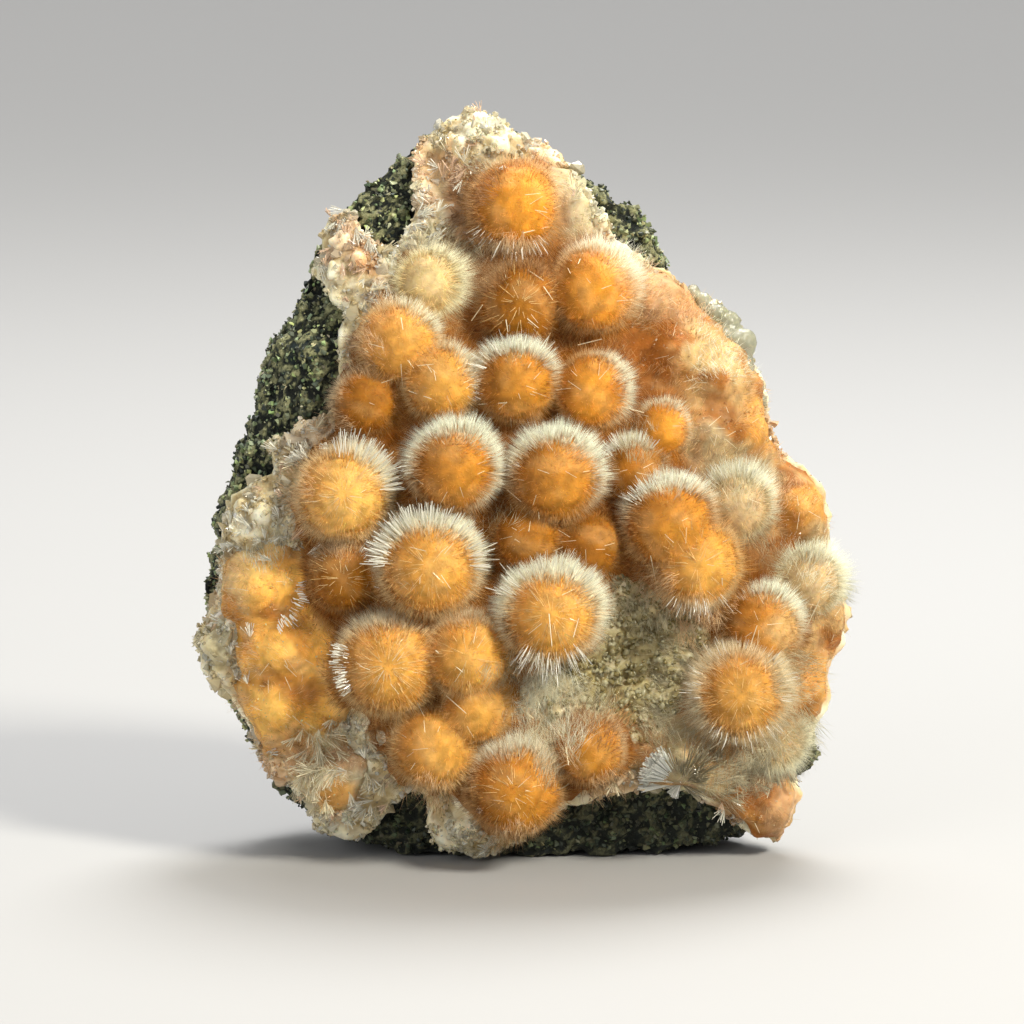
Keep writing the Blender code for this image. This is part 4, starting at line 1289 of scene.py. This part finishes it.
# How far a blade keeps off the ground, and how far the middle of a spray stands in front of it.
CLEAR_OF_GROUND = 0.15
MIDDLE_PROUD = 0.6


def small_spray(across, up, way, length, colour):
    half = chance.uniform(12, 40)
    SPRAYS.append((across, up, way - half, way + half, SMALL_BLADES, length, SMALL_WIDTH, SMALL_EVEN, colour))


for across, up, radius, way, count, length, colour in PATCHES:
    for _ in range(count):
        x, z = chance.normal(size=2) * radius * 0.5 + (across, up)
        small_spray(x, z, way + chance.normal() * 45, length * chance.uniform(0.5, 1.1), colour)

# Others grow at random all over the bare crust.
for across, _, up in from_face(scattered(crust, RANDOM_SPRAYS, on_rim)):
    colour = (CLEAN, CREAM, ROSE)[chance.integers(3)]
    small_spray(across, up, chance.uniform(0, 360), chance.uniform(0.8, 2.0), colour)


def spray(across, up, start, end, count, length, wide, even, colour):
    """One spray. Its blades are narrow at the middle and wide at the far end."""
    middle = np.array((across, float(ground(across, up)) - MIDDLE_PROUD, up))
    turn = np.radians(chance.uniform(start, end, count) + chance.normal(size=count) * 8)
    out = chance.uniform(-0.35, 0.55, count) * (1 - even)
    ways = unit(np.column_stack([np.cos(turn), out, np.sin(turn)]))
    reach = length * chance.uniform(even, 1.0, count)
    near = middle + ways * (reach * chance.uniform(0.02, 0.3, count))[:, None]
    far = middle + ways * reach[:, None]
    far[:, 1] = np.minimum(far[:, 1], ground(far[:, 0], far[:, 2]) - CLEAR_OF_GROUND)
    # A blade that would lie in the ground is lifted out of it.
    halfway = (near + far) / 2
    buried = np.clip(halfway[:, 1] - ground(halfway[:, 0], halfway[:, 2]) + CLEAR_OF_GROUND, 0, None)
    near[:, 1] -= buried
    far[:, 1] -= buried
    colours = np.array(colour) * chance.uniform(0.45 + 0.2 * even, 1.12, (count, 1))
    keep = np.full(count, bool(crust_depth.under(across, up)))
    return [part[keep] for part in (far, near, wide * chance.uniform(0.5, 1.2, count), colours)]


blades = needles("blade_sprays", spike_shape(4, 0.15), *gathered(spray(*row) for row in SPRAYS), flat=0.4)
dress(blades, glassy, "pale_crust", flat=True)


# The floor, the light and the camera.
# A plain pale floor that curves up behind, one soft window of light high on the right, and fill.

# The floor's width, its near and far ends, its height behind and the radius of its curve, in metres.
wide, near, far, rise, round_off = 6.0, -2.5, 3.4, 3.0, 1.2
CURVE_STEPS = 24

build = bmesh.new()
profile = [(near, 0.0), (far - round_off, 0.0)]
for step in range(1, CURVE_STEPS):
    angle = math.pi / 2 * step / CURVE_STEPS
    profile.append((far - round_off + round_off * math.sin(angle), round_off - round_off * math.cos(angle)))
profile += [(far, round_off), (far, rise)]
line = [build.verts.new((-wide / 2, y, z)) for y, z in profile]
edges = [build.edges.new(pair) for pair in zip(line, line[1:])]
swept = bmesh.ops.extrude_edge_only(build, edges=edges)["geom"]
for vert in (item for item in swept if isinstance(item, bmesh.types.BMVert)):
    vert.co.x += wide
bmesh.ops.recalc_face_normals(build, faces=build.faces)
floor = new_piece("floor", build)
paper = Finish("pale paper")
paper.surface_is(Base_Color=(0.42, 0.415, 0.405), Roughness=0.9)
floor.data.materials.append(paper.material)
floor.data.polygons.foreach_set("use_smooth", [True] * len(floor.data.polygons))


def soft_light(name, place, aim, size, power, colour):
    lamp = bpy.data.lights.new(name, "AREA")
    lamp.shape = "DISK"
    lamp.size = size
    lamp.energy = power
    lamp.color = colour
    light = bpy.data.objects.new(name, lamp)
    light.location = place
    light.rotation_euler = (Vector(aim) - Vector(place)).to_track_quat("-Z", "Y").to_euler()
    bpy.context.scene.collection.objects.link(light)


middle = (0.0, 0.0, 0.035)
soft_light("key", (0.42, -0.40, 0.50), middle, 0.20, 6.2, (1.0, 0.96, 0.85))
soft_light("fill", (-0.6, -0.7, 0.35), middle, 0.6, 2.2, (0.95, 0.97, 1.0))
soft_light("top", (0.1, 0.30, 0.6), middle, 0.3, 3.6, (1.0, 1.0, 1.0))
soft_light("backdrop", (0.0, 1.5, 2.2), (0.0, 1.7, 0.0), 2.4, 45.0, (1.0, 1.0, 1.0))
world = bpy.data.worlds.new("studio")
world.use_nodes = True
world.node_tree.nodes["Background"].inputs["Color"].default_value = (0.85, 0.86, 0.88, 1.0)
world.node_tree.nodes["Background"].inputs["Strength"].default_value = 0.38
bpy.context.scene.world = world

# A long lens, square to the leaning face. It stands so far off that the photo's width, 102.4 mm,
# fills the view at the depth where the balls are widest.
LENS, SENSOR = 200.0, 36.0
HALF_VIEW = 51.2
REFERENCE_DEPTH = 7.0
CENTRE_UP = 35.3
away = HALF_VIEW / (SENSOR / 2 / LENS)
lens = bpy.data.cameras.new("camera")
lens.lens = LENS
lens.sensor_width = SENSOR
lens.clip_end = 20.0
camera = bpy.data.objects.new("camera", lens)
camera.location = Vector(on_face((0.0, REFERENCE_DEPTH - away, CENTRE_UP)))
camera.rotation_euler = (-FORWARD).to_track_quat("-Z", "Y").to_euler()
bpy.context.scene.collection.objects.link(camera)
bpy.context.scene.camera = camera
bpy.context.scene.view_settings.view_transform = "Standard"
